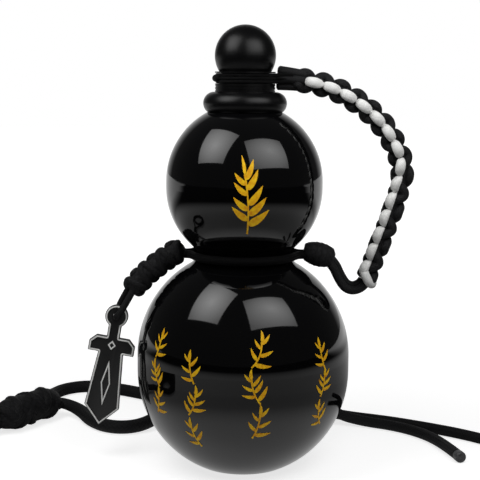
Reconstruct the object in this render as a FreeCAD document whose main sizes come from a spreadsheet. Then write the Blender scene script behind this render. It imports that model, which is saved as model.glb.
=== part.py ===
import FreeCAD, Part
import math
import os
import types

import Sketcher

# A double-bulb gourd bottle with a screw cap, a woven carry handle, a charm and a shoulder strap.
# Millimetres, +Z up, origin at the centre of the base. The handle is at +X, the charm at -X.

SIZES = {
    # Bottle body
    "bulb_radius": 58.0,
    "base_radius": 25.7,
    "bulb_band": 8.5,
    "top_bulb_radius": 42.3,
    "top_bulb_band": 3.2,
    "waist_radius": 26.08,
    "waist_round": 6.4,
    "wall": 2.0,
    "shoulder_radius": 18.0,
    "neck_radius": 13.0,
    # Thread between neck and cap
    "thread_lead": 12.0,
    "thread_rise": 4.4,
    "thread_depth": 1.1,
    "thread_flank": 0.4,
    "thread_start": 4.1,
    "thread_bite": 0.4,
    "thread_clearance": 0.3,
    # Cap
    "cap_gap": 0.3,
    "collar_lip_wall": 1.85,
    "collar_bulge": 4.2,
    "collar_skirt": 2.1,
    "collar_height": 9.4,
    "collar_crest_height": 3.4,
    "collar_step": 0.5,
    "ring_wall": 0.9,
    "ring_height": 4.4,
    "line_depth": 0.3,
    "line_width": 0.5,
    "line_first_height": 0.9,
    "line_pitch": 1.7,
    "spool_radius": 13.0,
    "groove_room": 0.5,
    "groove_lip_radius": 16.2,
    "groove_lip_height": 0.7,
    "ball_radius": 16.3,
    "ball_seat_radius": 13.9,
    "pin_radius": 6.0,
    "pin_height": 8.5,
    "pin_clearance": 0.05,
    "pin_end_gap": 0.4,
    "ceiling": 1.2,
    "insert_wall": 1.9,
    "insert_top_wall": 1.8,
    "insert_step_drop": 0.3,
    "insert_disc": 1.3,
    "insert_lip_gap": 0.2,
    "insert_fit": 0.05,
    "seal_thickness": 1.1,
    "seal_bore_radius": 9.5,
    "seal_fit": 0.2,
    "seal_gap": 0.1,
    # Cords and knots
    "tether_cord": 4.6,
    "tether_lead": 4.15,
    "strand_gap": 0.6,
    "cord_gap": 0.3,
    "cord_bend": 5.0,
    "handle_width": 12.4,
    "band_proud": 0.2,
    "band_length": 4.2,
    "tail_cord": 4.6,
    "waist_cord": 4.4,
    "waist_lead": 1.9,
    "knot_radius": 6.3,
    "knot_swell": 2.1,
    "knot_length": 15.0,
    "knot_gap": 0.9,
    "knot_drop": 0.6,
    "lanyard_width": 12.0,
    "charm_cord": 3.2,
    "anchor_radius": 7.0,
    "anchor_swell": 0.8,
    "anchor_length": 30.0,
    "anchor_drop": 0.7,
    "strap_cord": 6.0,
    "slide_knot_radius": 8.6,
    "slide_knot_length": 44.0,
    "slide_knot_start": 6.2,
    "slide_knot_round": 2.2,
    "coil_gap": 0.7,
    "tie_thickness": 1.2,
    "tie_width": 6.0,
    "tie_gap": 0.4,
    "tip_wall": 0.2,
    "tip_length": 5.0,
    # Charm
    "charm_stand_off": 11.5,
    "charm_thickness": 2.8,
    "charm_hole_gap": 0.4,
    "pommel_radius": 6.3,
    "grip_width": 7.1,
    "grip_end": 11.9,
    "guard_width": 25.4,
    "guard_cut": 3.6,
    "guard_end": 21.0,
    "blade_top_width": 13.8,
    "blade_width": 19.4,
    "blade_end": 51.8,
    "charm_tip": 62.4,
    "outline_inset": 0.4,
    "outline_width": 0.8,
    "outline_height": 0.35,
}

FULL_TURN = 360
THREAD_STARTS = 3
RING_LINES = 2
KNOT_TILT = 14
CHARM_LEAN = 9.8
COIL_TURNS = 3.5
QUARTERS_PER_TURN = 4
# The coil's tie sits this far round from where the cord enters, in turns.
TIE_PLACE_SHARE = 0.25
# An arc takes up this share of the shorter of its two runs.
ARC_SHARE = 0.45

# Routes of the cords, in mm, chosen to follow the photograph.
HANDLE_ROUTE = [
    (24.0, 0, 210.8), (37.8, 0, 208.8), (48.5, 0, 205.4), (57.8, 0, 200.4), (66.9, 0, 193.9),
    (74.4, 0, 186.4), (80.0, 0, 177.6), (84.2, 0, 168.8), (85.4, 0, 159.6), (83.6, 0, 150.6),
    (80.8, 0, 141.8), (77.9, 0, 132.8), (74.6, 0, 124.0), (71.4, 0, 115.2), (67.9, 0, 105.6),
]
TAIL_ROUTE = [
    (66.5, 0, 101.6), (65.1, 0, 97.6), (61.4, 0, 95.6), (57.4, 0, 96.9),
    (54.9, 0, 101.2), (53.4, 0, 106.2), (51.7, 0, 110.9),
]
LANYARD_ROUTE = [
    (-35.7, 0, 116.1), (-42.7, 0, 113.4), (-50.2, 0, 107.6), (-56.8, 0, 101.0), (-61.6, 0, 95.4),
]
CHARM_CORD_ROUTE = [(-61.6, -2.6, 94.4), (-69.5, -4.6, 80.9), (-69.5, 4.6, 80.9), (-63.4, 2.6, 93.6)]
# The strap's two left strands run to the slide knot, straight through it, and on to the coil.
FAR_TO_KNOT = [
    (-3.6, 43.3, 110.3), (-3.8, 51.0, 102.0), (-4.6, 59.5, 88.5), (-6.0, 64.8, 71.5),
    (-8.0, 67.5, 53.0), (-11.5, 71.5, 35.0), (-19.0, 80.0, 18.0), (-32.0, 92.0, 7.0),
    (-49.0, 105.0, 3.4), (-67.5, 119.0, 3.2), (-86.0, 130.0, 3.2), (-104.5, 136.0, 3.2),
    (-119.0, 128.0, 3.2), (-125.2, 112.5, 3.3), (-125.4, 96.5, 6.0), (-123.4, 83.8, 8.9),
]
FAR_TO_COIL = [
    (-168.7, 16.6, 8.9), (-178.6, 6.4, 8.3), (-192.4, 1.2, 6.9), (-207.5, -0.6, 5.5),
    (-221.0, -3.6, 4.8), (-229.6, -10.4, 4.7), (-235.5, -19.1, 4.7),
]
NEAR_TO_KNOT = [
    (-10.8, 43.3, 110.3), (-11.2, 51.0, 102.0), (-13.0, 59.5, 88.5), (-16.0, 64.6, 71.5),
    (-21.0, 67.0, 53.0), (-28.0, 69.5, 35.0), (-38.0, 71.0, 18.5), (-50.0, 66.0, 6.8),
    (-61.5, 57.0, 3.5), (-73.5, 52.6, 3.2), (-84.5, 58.6, 3.2), (-92.6, 69.2, 3.4),
    (-99.2, 79.2, 4.8), (-108.6, 82.8, 7.2), (-117.6, 79.8, 8.9),
]
NEAR_TO_COIL = [
    (-162.9, 12.7, 8.9), (-168.7, -0.3, 8.2), (-168.3, -15.0, 7.8), (-164.4, -29.7, 8.6),
    (-162.1, -43.3, 10.4), (-165.2, -53.9, 11.4), (-171.0, -62.6, 11.4),
]
STRAP_RIGHT_FAR = [
    (3.6, 43.3, 110.3), (3.8, 51.0, 102.0), (4.8, 59.5, 88.5), (7.0, 64.8, 71.5),
    (11.0, 67.5, 53.0), (18.0, 70.5, 35.0), (29.0, 73.5, 18.0), (45.0, 75.0, 6.5),
    (65.0, 73.0, 3.3), (88.0, 64.5, 3.2), (112.0, 51.0, 3.2), (134.0, 36.0, 3.2), (149.0, 21.0, 3.2),
]
STRAP_RIGHT_NEAR = [
    (10.8, 43.3, 110.3), (11.4, 51.0, 102.0), (13.6, 59.5, 88.5), (17.0, 64.4, 71.5),
    (23.0, 66.6, 53.0), (32.0, 67.0, 35.0), (44.0, 66.5, 18.5), (58.0, 65.5, 6.5),
    (74.0, 62.0, 3.3), (92.0, 54.0, 3.2), (107.0, 39.5, 3.2), (116.0, 20.0, 3.2), (120.5, 0.0, 3.2),
]


class Size:
    """A length with its value and the expression that binds it to the sheet."""

    def __init__(self, value, text):
        self.value = value
        self.text = text

    @staticmethod
    def of(other):
        return other if isinstance(other, Size) else Size(float(other), str(other))

    def joined(self, other, sign, value):
        return Size(value, "(%s %s %s)" % (self.text, sign, other.text))

    def __add__(self, other):
        other = Size.of(other)
        return self.joined(other, "+", self.value + other.value)

    def __sub__(self, other):
        other = Size.of(other)
        return self.joined(other, "-", self.value - other.value)

    def __mul__(self, other):
        other = Size.of(other)
        return self.joined(other, "*", self.value * other.value)

    def __truediv__(self, other):
        other = Size.of(other)
        return self.joined(other, "/", self.value / other.value)

    def __rmul__(self, other):
        return Size.of(other) * self

    def __neg__(self):
        return Size.of(0) - self

    def __float__(self):
        return self.value

    def root(self):
        return Size(math.sqrt(self.value), "sqrt(%s)" % self.text)


ZERO = Size.of(0)

doc = FreeCAD.newDocument("gourd_bottle")
sheet = doc.addObject("Spreadsheet::Sheet", "sizes")
for row, (alias, value) in enumerate(SIZES.items(), start=1):
    sheet.set("A%d" % row, alias)
    sheet.set("B%d" % row, str(value))
    sheet.setAlias("B%d" % row, alias)
doc.recompute()
dim = types.SimpleNamespace(
    **{alias: Size(float(sheet.get(alias)), "<<sizes>>.%s" % alias) for alias in SIZES}
)

# Heights that several pieces share, from the base up
bulb_low = (dim.bulb_radius * dim.bulb_radius - dim.base_radius * dim.base_radius).root()
bulb_high = bulb_low + dim.bulb_band

# The waist round touches both bulbs, which sets how far apart their centres are
waist_centre = dim.waist_radius + dim.waist_round
waist_low = dim.bulb_radius + dim.waist_round
waist_high = dim.top_bulb_radius + dim.waist_round
waist_rise = (waist_low * waist_low - waist_centre * waist_centre).root()
waist_drop = (waist_high * waist_high - waist_centre * waist_centre).root()
waist_z = bulb_high + waist_rise
waist_loop_radius = dim.waist_radius + dim.cord_gap + dim.waist_cord / 2

top_bulb_low = waist_z + waist_drop
top_bulb_high = top_bulb_low + dim.top_bulb_band
shoulder_z = top_bulb_high + (dim.top_bulb_radius * dim.top_bulb_radius
                              - dim.shoulder_radius * dim.shoulder_radius).root()
cap_z = shoulder_z + dim.cap_gap
collar_top_z = cap_z + dim.collar_height
ring_top_z = collar_top_z + dim.ring_height
groove_height = dim.tether_cord + 2 * dim.groove_room
spool_top_z = ring_top_z + groove_height
ball_seat_z = spool_top_z + dim.groove_lip_height
ceiling_z = ring_top_z - dim.ceiling
insert_top_z = ceiling_z - dim.insert_fit
seal_top_z = insert_top_z - dim.insert_disc
mouth_z = seal_top_z - dim.seal_thickness - dim.seal_gap
thread_pitch = dim.thread_lead / THREAD_STARTS
thread_base = thread_pitch / 2 - dim.thread_clearance
thread_crest = thread_base - 2 * dim.thread_flank
thread_z = shoulder_z + dim.thread_start
thread_top_z = thread_z + dim.thread_rise + thread_base / 2 + dim.thread_clearance

# Radii of the cap, from the neck outwards
liner_radius = dim.neck_radius + dim.thread_clearance
thread_bore = liner_radius + dim.thread_depth
insert_radius = thread_bore + dim.insert_wall
insert_top_radius = liner_radius + dim.insert_top_wall
collar_lip_radius = insert_radius + dim.insert_fit + dim.collar_lip_wall
collar_radius = collar_lip_radius + dim.collar_bulge
# The collar's skirt follows the bulb outside the shoulder
skirt_radius = collar_lip_radius + dim.collar_skirt
skirt_z = dim.cap_gap + top_bulb_high + (dim.top_bulb_radius * dim.top_bulb_radius
                                         - skirt_radius * skirt_radius).root()
ring_radius = insert_top_radius + dim.insert_fit + dim.ring_wall
collar_top_radius = ring_radius + dim.collar_step


def vector(x, y, z):
    return FreeCAD.Vector(float(x), float(y), float(z))


def new_body(label):
    body = doc.addObject("PartDesign::Body", label)
    body.Label = label
    return body


def plane_of(body, role):
    return [feature for feature in body.Origin.OriginFeatures if feature.Role == role][0]


def arc_between(start, end, radius, side):
    """The shorter arc from start to end; its centre is left of the way for side 1, right for side -1."""
    chord = end - start
    left = FreeCAD.Vector(-chord.y, chord.x, 0).normalize()
    offset = math.sqrt(max(radius * radius - chord.Length * chord.Length / 4, 0))
    centre = (start + end) / 2 + left * (offset * side)
    angles = [math.atan2(place.y - centre.y, place.x - centre.x) for place in (start, end)]
    if side < 0:
        angles.reverse()
    if angles[1] < angles[0]:
        angles[1] += 2 * math.pi
    return Part.ArcOfCircle(Part.Circle(centre, FreeCAD.Vector(0, 0, 1), radius), *angles)


def outline(body, name, points, arcs=None, role="XZ_Plane"):
    """A closed outline on a plane of the body, each corner and radius bound to the sheet.

    arcs maps an edge, by the number of its first corner, to its radius and the side of its centre.
    """
    arcs = arcs or {}
    sketch = body.newObject("Sketcher::SketchObject", name)
    sketch.AttachmentSupport = [(plane_of(body, role), "")]
    sketch.MapMode = "FlatFace"
    places = [vector(u, v, 0) for u, v in points]
    count = len(points)
    ends = []
    for edge in range(count):
        start, end = places[edge], places[(edge + 1) % count]
        radius, side = arcs.get(edge, (None, 1))
        if radius is None:
            sketch.addGeometry(Part.LineSegment(start, end), False)
        else:
            sketch.addGeometry(arc_between(start, end, float(radius), side), False)
        ends.append((1, 2) if side > 0 else (2, 1))

    def bind(kind, size, *where):
        index = sketch.addConstraint(Sketcher.Constraint(kind, *where, float(size)))
        sketch.setExpression("Constraints[%d]" % index, size.text)

    for edge in range(count):
        after = (edge + 1) % count
        sketch.addConstraint(Sketcher.Constraint("Coincident", edge, ends[edge][1], after, ends[after][0]))
    for edge, (u, v) in enumerate(points):
        corner = ends[edge][0]
        for kind, size, axis in (("DistanceX", u, -2), ("DistanceY", v, -1)):
            if size is ZERO:
                sketch.addConstraint(Sketcher.Constraint("PointOnObject", edge, corner, axis))
            else:
                bind(kind, size, -1, 1, edge, corner)
    for edge, (radius, side) in arcs.items():
        bind("Radius", radius, edge)
    return sketch


def revolved(body, kind, name, sketch, axis="V_Axis"):
    feature = body.newObject("PartDesign::" + kind, name)
    feature.Profile = sketch
    feature.ReferenceAxis = (sketch, [axis])
    feature.Angle = FULL_TURN
    return feature


def thread_ribs(body, name, points):
    """Helical ribs of the thread: one swept rib, repeated round the axis for each start."""
    sketch = outline(body, name + "_profile", points)
    rib = body.newObject("PartDesign::AdditiveHelix", name + "_rib")
    rib.Profile = sketch
    rib.ReferenceAxis = (sketch, ["V_Axis"])
    rib.Mode = "pitch-height-angle"
    rib.setExpression("Pitch", dim.thread_lead.text)
    rib.setExpression("Height", dim.thread_rise.text)
    doc.recompute()
    ribs = body.newObject("PartDesign::PolarPattern", name + "_ribs")
    ribs.Originals = [rib]
    ribs.Axis = (sketch, ["V_Axis"])
    ribs.Angle = FULL_TURN
    ribs.Occurrences = THREAD_STARTS
    body.Tip = ribs


def gourd_outline(body, name, inset, mouth):
    """Half section of the double bulb, drawn in by inset; the bore runs up to mouth."""
    low = dim.bulb_radius - inset
    high = dim.top_bulb_radius - inset
    waist_round = dim.waist_round + inset
    base_drop = bulb_low - inset
    land_z = shoulder_z - inset
    land_rise = land_z - top_bulb_high
    low_share = low / waist_low
    high_share = high / waist_high
    bore = dim.neck_radius - inset
    points = [
        (ZERO, inset),
        ((low * low - base_drop * base_drop).root(), inset),
        (low, bulb_low),
        (low, bulb_high),
        (waist_centre * low_share, bulb_high + waist_rise * low_share),
        (waist_centre * high_share, top_bulb_low - waist_drop * high_share),
        (high, top_bulb_low),
        (high, top_bulb_high),
        ((high * high - land_rise * land_rise).root(), land_z),
        (bore, land_z),
        (bore, mouth),
        (ZERO, mouth),
    ]
    arcs = {1: (low, 1), 3: (low, 1), 4: (waist_round, -1), 5: (high, 1), 7: (high, 1)}
    return outline(body, name, points, arcs)


def bottle_body():
    body = new_body("bottle_body")
    revolved(body, "Revolution", "bulbs", gourd_outline(body, "bulb_profile", ZERO, mouth_z))
    bore_end = mouth_z + dim.wall
    revolved(body, "Groove", "hollow", gourd_outline(body, "hollow_profile", dim.wall, bore_end))
    root = dim.neck_radius - dim.thread_bite
    crest = dim.neck_radius + dim.thread_depth
    thread_ribs(body, "neck", [
        (root, thread_z - thread_base / 2),
        (crest, thread_z - thread_crest / 2),
        (crest, thread_z + thread_crest / 2),
        (root, thread_z + thread_base / 2),
    ])
    return body


def round_radius(inner, outer, rise):
    """Radius of an arc that ends upright at the outer radius and starts at the inner one, rise away."""
    reach = outer - inner
    return (reach * reach + rise * rise) / (2 * reach)


def cap_shell():
    body = new_body("cap_shell")
    bore = insert_radius + dim.insert_fit
    upper_bore = insert_top_radius + dim.insert_fit
    crest_z = cap_z + dim.collar_crest_height
    crest_drop = collar_top_z - crest_z
    step_z = collar_top_z - dim.insert_step_drop
    line_radius = ring_radius - dim.line_depth
    points = [(bore, cap_z), (collar_lip_radius, cap_z), (skirt_radius, skirt_z), (collar_radius, crest_z),
              (collar_top_radius, collar_top_z), (ring_radius, collar_top_z)]
    for line in range(RING_LINES):
        line_z = collar_top_z + dim.line_first_height + dim.line_pitch * line
        points += [(ring_radius, line_z), (line_radius, line_z),
                   (line_radius, line_z + dim.line_width), (ring_radius, line_z + dim.line_width)]
    pin_top_z = ball_seat_z + dim.pin_height
    points += [(ring_radius, ring_top_z), (dim.spool_radius, ring_top_z),
               (dim.spool_radius, spool_top_z), (dim.groove_lip_radius, spool_top_z),
               (dim.groove_lip_radius, ball_seat_z), (dim.pin_radius, ball_seat_z),
               (dim.pin_radius, pin_top_z), (ZERO, pin_top_z), (ZERO, ceiling_z),
               (upper_bore, ceiling_z), (upper_bore, step_z), (bore, step_z)]
    arcs = {
        2: (round_radius(skirt_radius, collar_radius, crest_z - skirt_z), 1),
        3: (round_radius(collar_top_radius, collar_radius, crest_drop), 1),
    }
    revolved(body, "Revolution", "shell", outline(body, "shell_profile", points, arcs))
    return body


def cap_knob():
    body = new_body("cap_knob")
    bore = dim.pin_radius + dim.pin_clearance
    bore_top_z = ball_seat_z + dim.pin_height + dim.pin_end_gap
    rise = (dim.ball_radius * dim.ball_radius - dim.ball_seat_radius * dim.ball_seat_radius).root()
    centre_z = ball_seat_z + rise
    points = [
        (bore, ball_seat_z),
        (dim.ball_seat_radius, ball_seat_z),
        (dim.ball_radius, centre_z),
        (ZERO, centre_z + dim.ball_radius),
        (ZERO, bore_top_z),
        (bore, bore_top_z),
    ]
    arcs = {1: (dim.ball_radius, 1), 2: (dim.ball_radius, 1)}
    revolved(body, "Revolution", "ball", outline(body, "ball_profile", points, arcs))
    return body


def cap_thread_insert():
    body = new_body("cap_thread_insert")
    bottom_z = cap_z + dim.insert_lip_gap
    step_z = collar_top_z - dim.insert_step_drop - dim.insert_fit
    points = [
        (thread_bore, bottom_z), (insert_radius, bottom_z), (insert_radius, step_z),
        (insert_top_radius, step_z), (insert_top_radius, insert_top_z), (ZERO, insert_top_z),
        (ZERO, seal_top_z), (liner_radius, seal_top_z), (liner_radius, thread_top_z),
        (thread_bore, thread_top_z),
    ]
    revolved(body, "Revolution", "cup", outline(body, "cup_profile", points))
    rib_z = thread_z - thread_pitch / 2
    root = thread_bore + dim.thread_bite
    thread_ribs(body, "cup", [
        (root, rib_z - thread_base / 2),
        (root, rib_z + thread_base / 2),
        (liner_radius, rib_z + thread_crest / 2),
        (liner_radius, rib_z - thread_crest / 2),
    ])
    return body


def cap_seal():
    body = new_body("cap_seal")
    bottom_z = seal_top_z - dim.seal_thickness
    seal_radius = liner_radius - dim.seal_fit
    points = [(dim.seal_bore_radius, bottom_z), (seal_radius, bottom_z),
              (seal_radius, seal_top_z), (dim.seal_bore_radius, seal_top_z)]
    revolved(body, "Revolution", "washer", outline(body, "washer_profile", points))
    return body


def barrel(label, radius, swell, length):
    """A knot's barrel along its own X axis, thicker at the middle by swell all round."""
    body = new_body(label)
    half = length / 2
    end_radius = radius - swell
    round_size = (swell * swell + half * half) / (2 * swell)
    points = [(-half, ZERO), (half, ZERO), (half, end_radius), (-half, end_radius)]
    sketch = outline(body, label + "_profile", points, {2: (round_size, 1)})
    revolved(body, "Revolution", label + "_form", sketch, "H_Axis")
    return body


def waist_knot():
    body = barrel("waist_knot", dim.knot_radius, dim.knot_swell, dim.knot_length)
    turn = FreeCAD.Rotation(FreeCAD.Vector(0, 1, 0), KNOT_TILT)
    strand_end = strand_reach(waist_loop_radius, dim.waist_cord, dim.waist_lead)
    reach = strand_end + float(dim.knot_gap + dim.knot_length / 2)
    body.Placement = FreeCAD.Placement(vector(reach, 0, waist_z - dim.knot_drop), turn)
    return body


def strap_anchor_knot():
    body = barrel("strap_anchor_knot", dim.anchor_radius, dim.anchor_swell, dim.anchor_length)
    reach = waist_loop_radius + dim.waist_cord / 2 + dim.cord_gap + dim.anchor_radius
    body.Placement = FreeCAD.Placement(vector(0, reach, waist_z - dim.anchor_drop), FreeCAD.Rotation())
    return body


def feature(label, shape):
    """A finished shape, worked out from the sheet, as an object of the document."""
    piece = doc.addObject("Part::Feature", label)
    piece.Label = label
    piece.Shape = shape
    piece.Placement = FreeCAD.Placement()
    return piece


def route_edges(points, radii):
    """Straight runs between the points, joined by tangent arcs as large as the runs allow."""
    edges = []
    here = points[0]
    for before, corner, after in zip(points, points[1:], points[2:]):
        back, ahead = before - corner, after - corner
        half_turn = (math.pi - back.getAngle(ahead)) / 2
        reach = ARC_SHARE * min(back.Length, ahead.Length)
        radii.append(reach / math.tan(half_turn))
        start = corner + back.normalize() * reach
        end = corner + ahead.normalize() * reach
        middle = (start + end) / 2
        rise = (end - start).Length / 2 * math.tan(half_turn / 2)
        edges.append(Part.LineSegment(here, start))
        edges.append(Part.Arc(start, middle + (corner - middle).normalize() * rise, end))
        here = end
    edges.append(Part.LineSegment(here, points[-1]))
    return edges


def swept(label, edges, diameter):
    """A round tube along edges that meet tangentially."""
    path = Part.Wire([edge.toShape() for edge in edges])
    first = path.Edges[0]
    start = first.valueAt(first.FirstParameter)
    along = first.tangentAt(first.FirstParameter)
    section = Part.Wire(Part.makeCircle(float(diameter) / 2, start, along))
    tube = path.makePipeShell([section], True, False)
    expected = math.pi * float(diameter) ** 2 / 4 * path.Length
    print("%s: length %.1f, volume / section x length %.4f" % (label, path.Length, tube.Volume / expected))
    return tube


def cord(label, route, diameter, shift=(0, 0, 0)):
    """A cord's tube along its route, moved sideways by shift."""
    points = [vector(*point) + vector(*shift) for point in route]
    radii = []
    edges = route_edges(points, radii)
    print("%s: tightest radius %.1f, diameter %.1f" % (label, min(radii), float(diameter)))
    return swept(label, edges, diameter)


def bend_reach(radius, half_gap):
    """How far from the axis a ring's strand has turned out along X."""
    bend = float(dim.cord_bend)
    return math.sqrt((float(radius) + bend) ** 2 - (half_gap + bend) ** 2)


def half_spread(diameter):
    """Half the distance between the centres of two strands that lie side by side."""
    return float(diameter + dim.strand_gap) / 2


def strand_reach(radius, diameter, lead):
    """Where a ring's two strands end: a straight lead past the bend."""
    return bend_reach(radius, half_spread(diameter)) + float(lead)


def loop_bend(radius, half_gap, height, x_side, y_side):
    """Points of the bend by which a ring's strand turns out along X: on the ring, midway, on the strand."""
    bend = float(dim.cord_bend)
    centre = vector(bend_reach(radius, half_gap) * x_side, (half_gap + bend) * y_side, height)
    towards_ring = vector(-centre.x, -centre.y, 0).normalize()
    towards_strand = vector(0, -y_side, 0)
    midway = (towards_ring + towards_strand).normalize()
    return [centre + way * bend for way in (towards_ring, midway, towards_strand)]


def cap_tether_loop():
    radius = float(dim.spool_radius + dim.cord_gap + dim.tether_cord / 2)
    half_gap = half_spread(dim.tether_cord)
    height = float(ring_top_z + groove_height / 2)
    reach = strand_reach(radius, dim.tether_cord, dim.tether_lead)
    front = loop_bend(radius, half_gap, height, 1, -1)
    back = loop_bend(radius, half_gap, height, 1, 1)
    far = vector(-radius, 0, height)
    edges = [
        Part.LineSegment(vector(reach, -half_gap, height), front[2]),
        Part.Arc(front[2], front[1], front[0]),
        Part.Arc(front[0], vector(0, -radius, height), far),
        Part.Arc(far, vector(0, radius, height), back[0]),
        Part.Arc(back[0], back[1], back[2]),
        Part.LineSegment(back[2], vector(reach, half_gap, height)),
    ]
    return feature("cap_tether_loop", swept("cap_tether_loop", edges, dim.tether_cord))


def waist_loop():
    radius = float(waist_loop_radius)
    half_gap = half_spread(dim.waist_cord)
    height = float(waist_z)
    reach = strand_reach(radius, dim.waist_cord, dim.waist_lead)
    strands = []
    for side in (-1, 1):
        left = loop_bend(radius, half_gap, height, -1, side)
        right = loop_bend(radius, half_gap, height, 1, side)
        edges = [
            Part.LineSegment(vector(-reach, half_gap * side, height), left[2]),
            Part.Arc(left[2], left[1], left[0]),
            Part.Arc(left[0], vector(0, radius * side, height), right[0]),
            Part.Arc(right[0], right[1], right[2]),
            Part.LineSegment(right[2], vector(reach, half_gap * side, height)),
        ]
        strands.append(swept("waist_loop", edges, dim.waist_cord))
    return feature("waist_loop", Part.makeCompound(strands))


def handle_braid():
    return feature("handle_braid", cord("handle_braid", HANDLE_ROUTE, dim.handle_width))


def handle_end_band():
    band = doc.addObject("Part::Cylinder", "handle_end_band")
    band.Label = "handle_end_band"
    band.setExpression("Radius", (dim.handle_width / 2 + dim.band_proud).text)
    band.setExpression("Height", dim.band_length.text)
    end, before = vector(*HANDLE_ROUTE[-1]), vector(*HANDLE_ROUTE[-2])
    band.Placement = FreeCAD.Placement(end, FreeCAD.Rotation(FreeCAD.Vector(0, 0, 1), end - before))
    return band


def handle_tail():
    offset = half_spread(dim.tail_cord)
    strands = [cord("handle_tail", TAIL_ROUTE, dim.tail_cord, (0, offset * side, 0)) for side in (-1, 1)]
    return feature("handle_tail", Part.makeCompound(strands))


def charm_shift():
    """How far the charm is moved along X from its route, to stand off from the bulb."""
    return -float(dim.bulb_radius + dim.charm_stand_off) - CHARM_CORD_ROUTE[1][0]


def charm_lanyard():
    """The lanyard starts at the waist, and its end goes with the charm."""
    steps = len(LANYARD_ROUTE) - 1
    route = [(x + charm_shift() * step / steps, y, z) for step, (x, y, z) in enumerate(LANYARD_ROUTE)]
    return feature("charm_lanyard", cord("charm_lanyard", route, dim.lanyard_width))


def charm_cord():
    return feature("charm_cord", cord("charm_cord", CHARM_CORD_ROUTE, dim.charm_cord, (charm_shift(), 0, 0)))


def charm_place():
    """The charm hangs where its cord passes through it."""
    front, back = CHARM_CORD_ROUTE[1:3]
    turn = FreeCAD.Rotation(FreeCAD.Vector(0, 1, 0), CHARM_LEAN)
    middle = (vector(*front) + vector(*back)) / 2
    return FreeCAD.Placement(middle + vector(charm_shift(), 0, 0), turn)


def sword_charm():
    body = new_body("sword_charm")
    grip, guard = dim.grip_width / 2, dim.guard_width / 2
    shoulder, guard_top = guard - dim.guard_cut, dim.grip_end + dim.guard_cut
    blade_top, blade = dim.blade_top_width / 2, dim.blade_width / 2
    neck = (dim.pommel_radius * dim.pommel_radius - grip * grip).root()
    points = [
        (grip, -neck), (ZERO, dim.pommel_radius), (-grip, -neck), (-grip, -dim.grip_end),
        (-shoulder, -dim.grip_end), (-guard, -guard_top), (-guard, -dim.guard_end),
        (-blade_top, -dim.guard_end), (-blade, -dim.blade_end), (ZERO, -dim.charm_tip),
        (blade, -dim.blade_end), (blade_top, -dim.guard_end), (guard, -dim.guard_end),
        (guard, -guard_top), (shoulder, -dim.grip_end), (grip, -dim.grip_end),
    ]
    sketch = outline(body, "charm_outline_sketch", points,
                     {0: (dim.pommel_radius, 1), 1: (dim.pommel_radius, 1)})
    hole = dim.charm_cord / 2 + dim.charm_hole_gap
    ring = sketch.addGeometry(Part.Circle(vector(0, 0, 0), FreeCAD.Vector(0, 0, 1), float(hole)), False)
    sketch.addConstraint(Sketcher.Constraint("Coincident", ring, 3, -1, 1))
    index = sketch.addConstraint(Sketcher.Constraint("Radius", ring, float(hole)))
    sketch.setExpression("Constraints[%d]" % index, hole.text)
    plate = body.newObject("PartDesign::Pad", "plate")
    plate.Profile = sketch
    plate.Midplane = True
    plate.setExpression("Length", dim.charm_thickness.text)
    body.Placement = charm_place()
    return body


def charm_outline(charm):
    """Two thin raised lines, one on each face, that follow the charm's edge."""
    doc.recompute()
    face = max(charm.Shape.Faces, key=lambda each: each.Area)
    border = Part.Face(face.OuterWire)
    outer = border.makeOffset2D(-float(dim.outline_inset))
    inner = border.makeOffset2D(-float(dim.outline_inset + dim.outline_width))
    line = outer.cut(inner)
    outward = face.normalAt(0, 0)
    front = line.extrude(outward * float(dim.outline_height))
    back = front.mirror(charm.Placement.Base, outward)
    return feature("charm_outline", Part.makeCompound([front, back]))


def strap_strand(label, route):
    return feature(label, cord(label, route, dim.strap_cord))


def slide_knot_line():
    """Start of the slide knot's axis and its direction, midway between the two left strands."""
    enter = (vector(*FAR_TO_KNOT[-1]) + vector(*NEAR_TO_KNOT[-1])) / 2
    leave = (vector(*FAR_TO_COIL[0]) + vector(*NEAR_TO_COIL[0])) / 2
    return enter, (leave - enter).normalize()


def strap_slide_knot():
    enter, along = slide_knot_line()
    aside = vector(*FAR_TO_KNOT[-1]) - enter
    body = new_body("strap_slide_knot")
    sketch = body.newObject("Sketcher::SketchObject", "knot_section")
    sketch.AttachmentSupport = [(plane_of(body, "XY_Plane"), "")]
    sketch.MapMode = "FlatFace"
    ring = sketch.addGeometry(
        Part.Circle(vector(0, 0, 0), FreeCAD.Vector(0, 0, 1), dim.slide_knot_radius.value), False)
    sketch.addConstraint(Sketcher.Constraint("Coincident", ring, 3, -1, 1))
    index = sketch.addConstraint(Sketcher.Constraint("Radius", ring, dim.slide_knot_radius.value))
    sketch.setExpression("Constraints[%d]" % index, dim.slide_knot_radius.text)
    form = body.newObject("PartDesign::Pad", "knot_form")
    form.Profile = sketch
    form.setExpression("Length", dim.slide_knot_length.text)
    doc.recompute()
    rims = ["Edge%d" % (number + 1) for number, edge in enumerate(form.Shape.Edges)
            if isinstance(edge.Curve, Part.Circle)]
    ends = body.newObject("PartDesign::Fillet", "knot_ends")
    ends.Base = (form, rims)
    ends.setExpression("Radius", dim.slide_knot_round.text)
    half = dim.strap_cord / 2 + dim.cord_gap
    offset = Size.of(aside.Length)
    corners = [(-offset, -half), (offset, -half), (offset + half, ZERO),
               (offset, half), (-offset, half), (-offset - half, ZERO)]
    round_ends = {edge: (half, 1) for edge in (1, 2, 4, 5)}
    slot = outline(body, "strand_slot", corners, round_ends, "XY_Plane")
    bore = body.newObject("PartDesign::Pocket", "strand_bore")
    bore.Profile = slot
    bore.Type = "ThroughAll"
    bore.Reversed = True
    turn = FreeCAD.Rotation(aside.normalize(), FreeCAD.Vector(0, 0, 0), along, "ZXY")
    start = enter + along * dim.slide_knot_start.value
    body.Placement = FreeCAD.Placement(start, turn)
    return body


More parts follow.
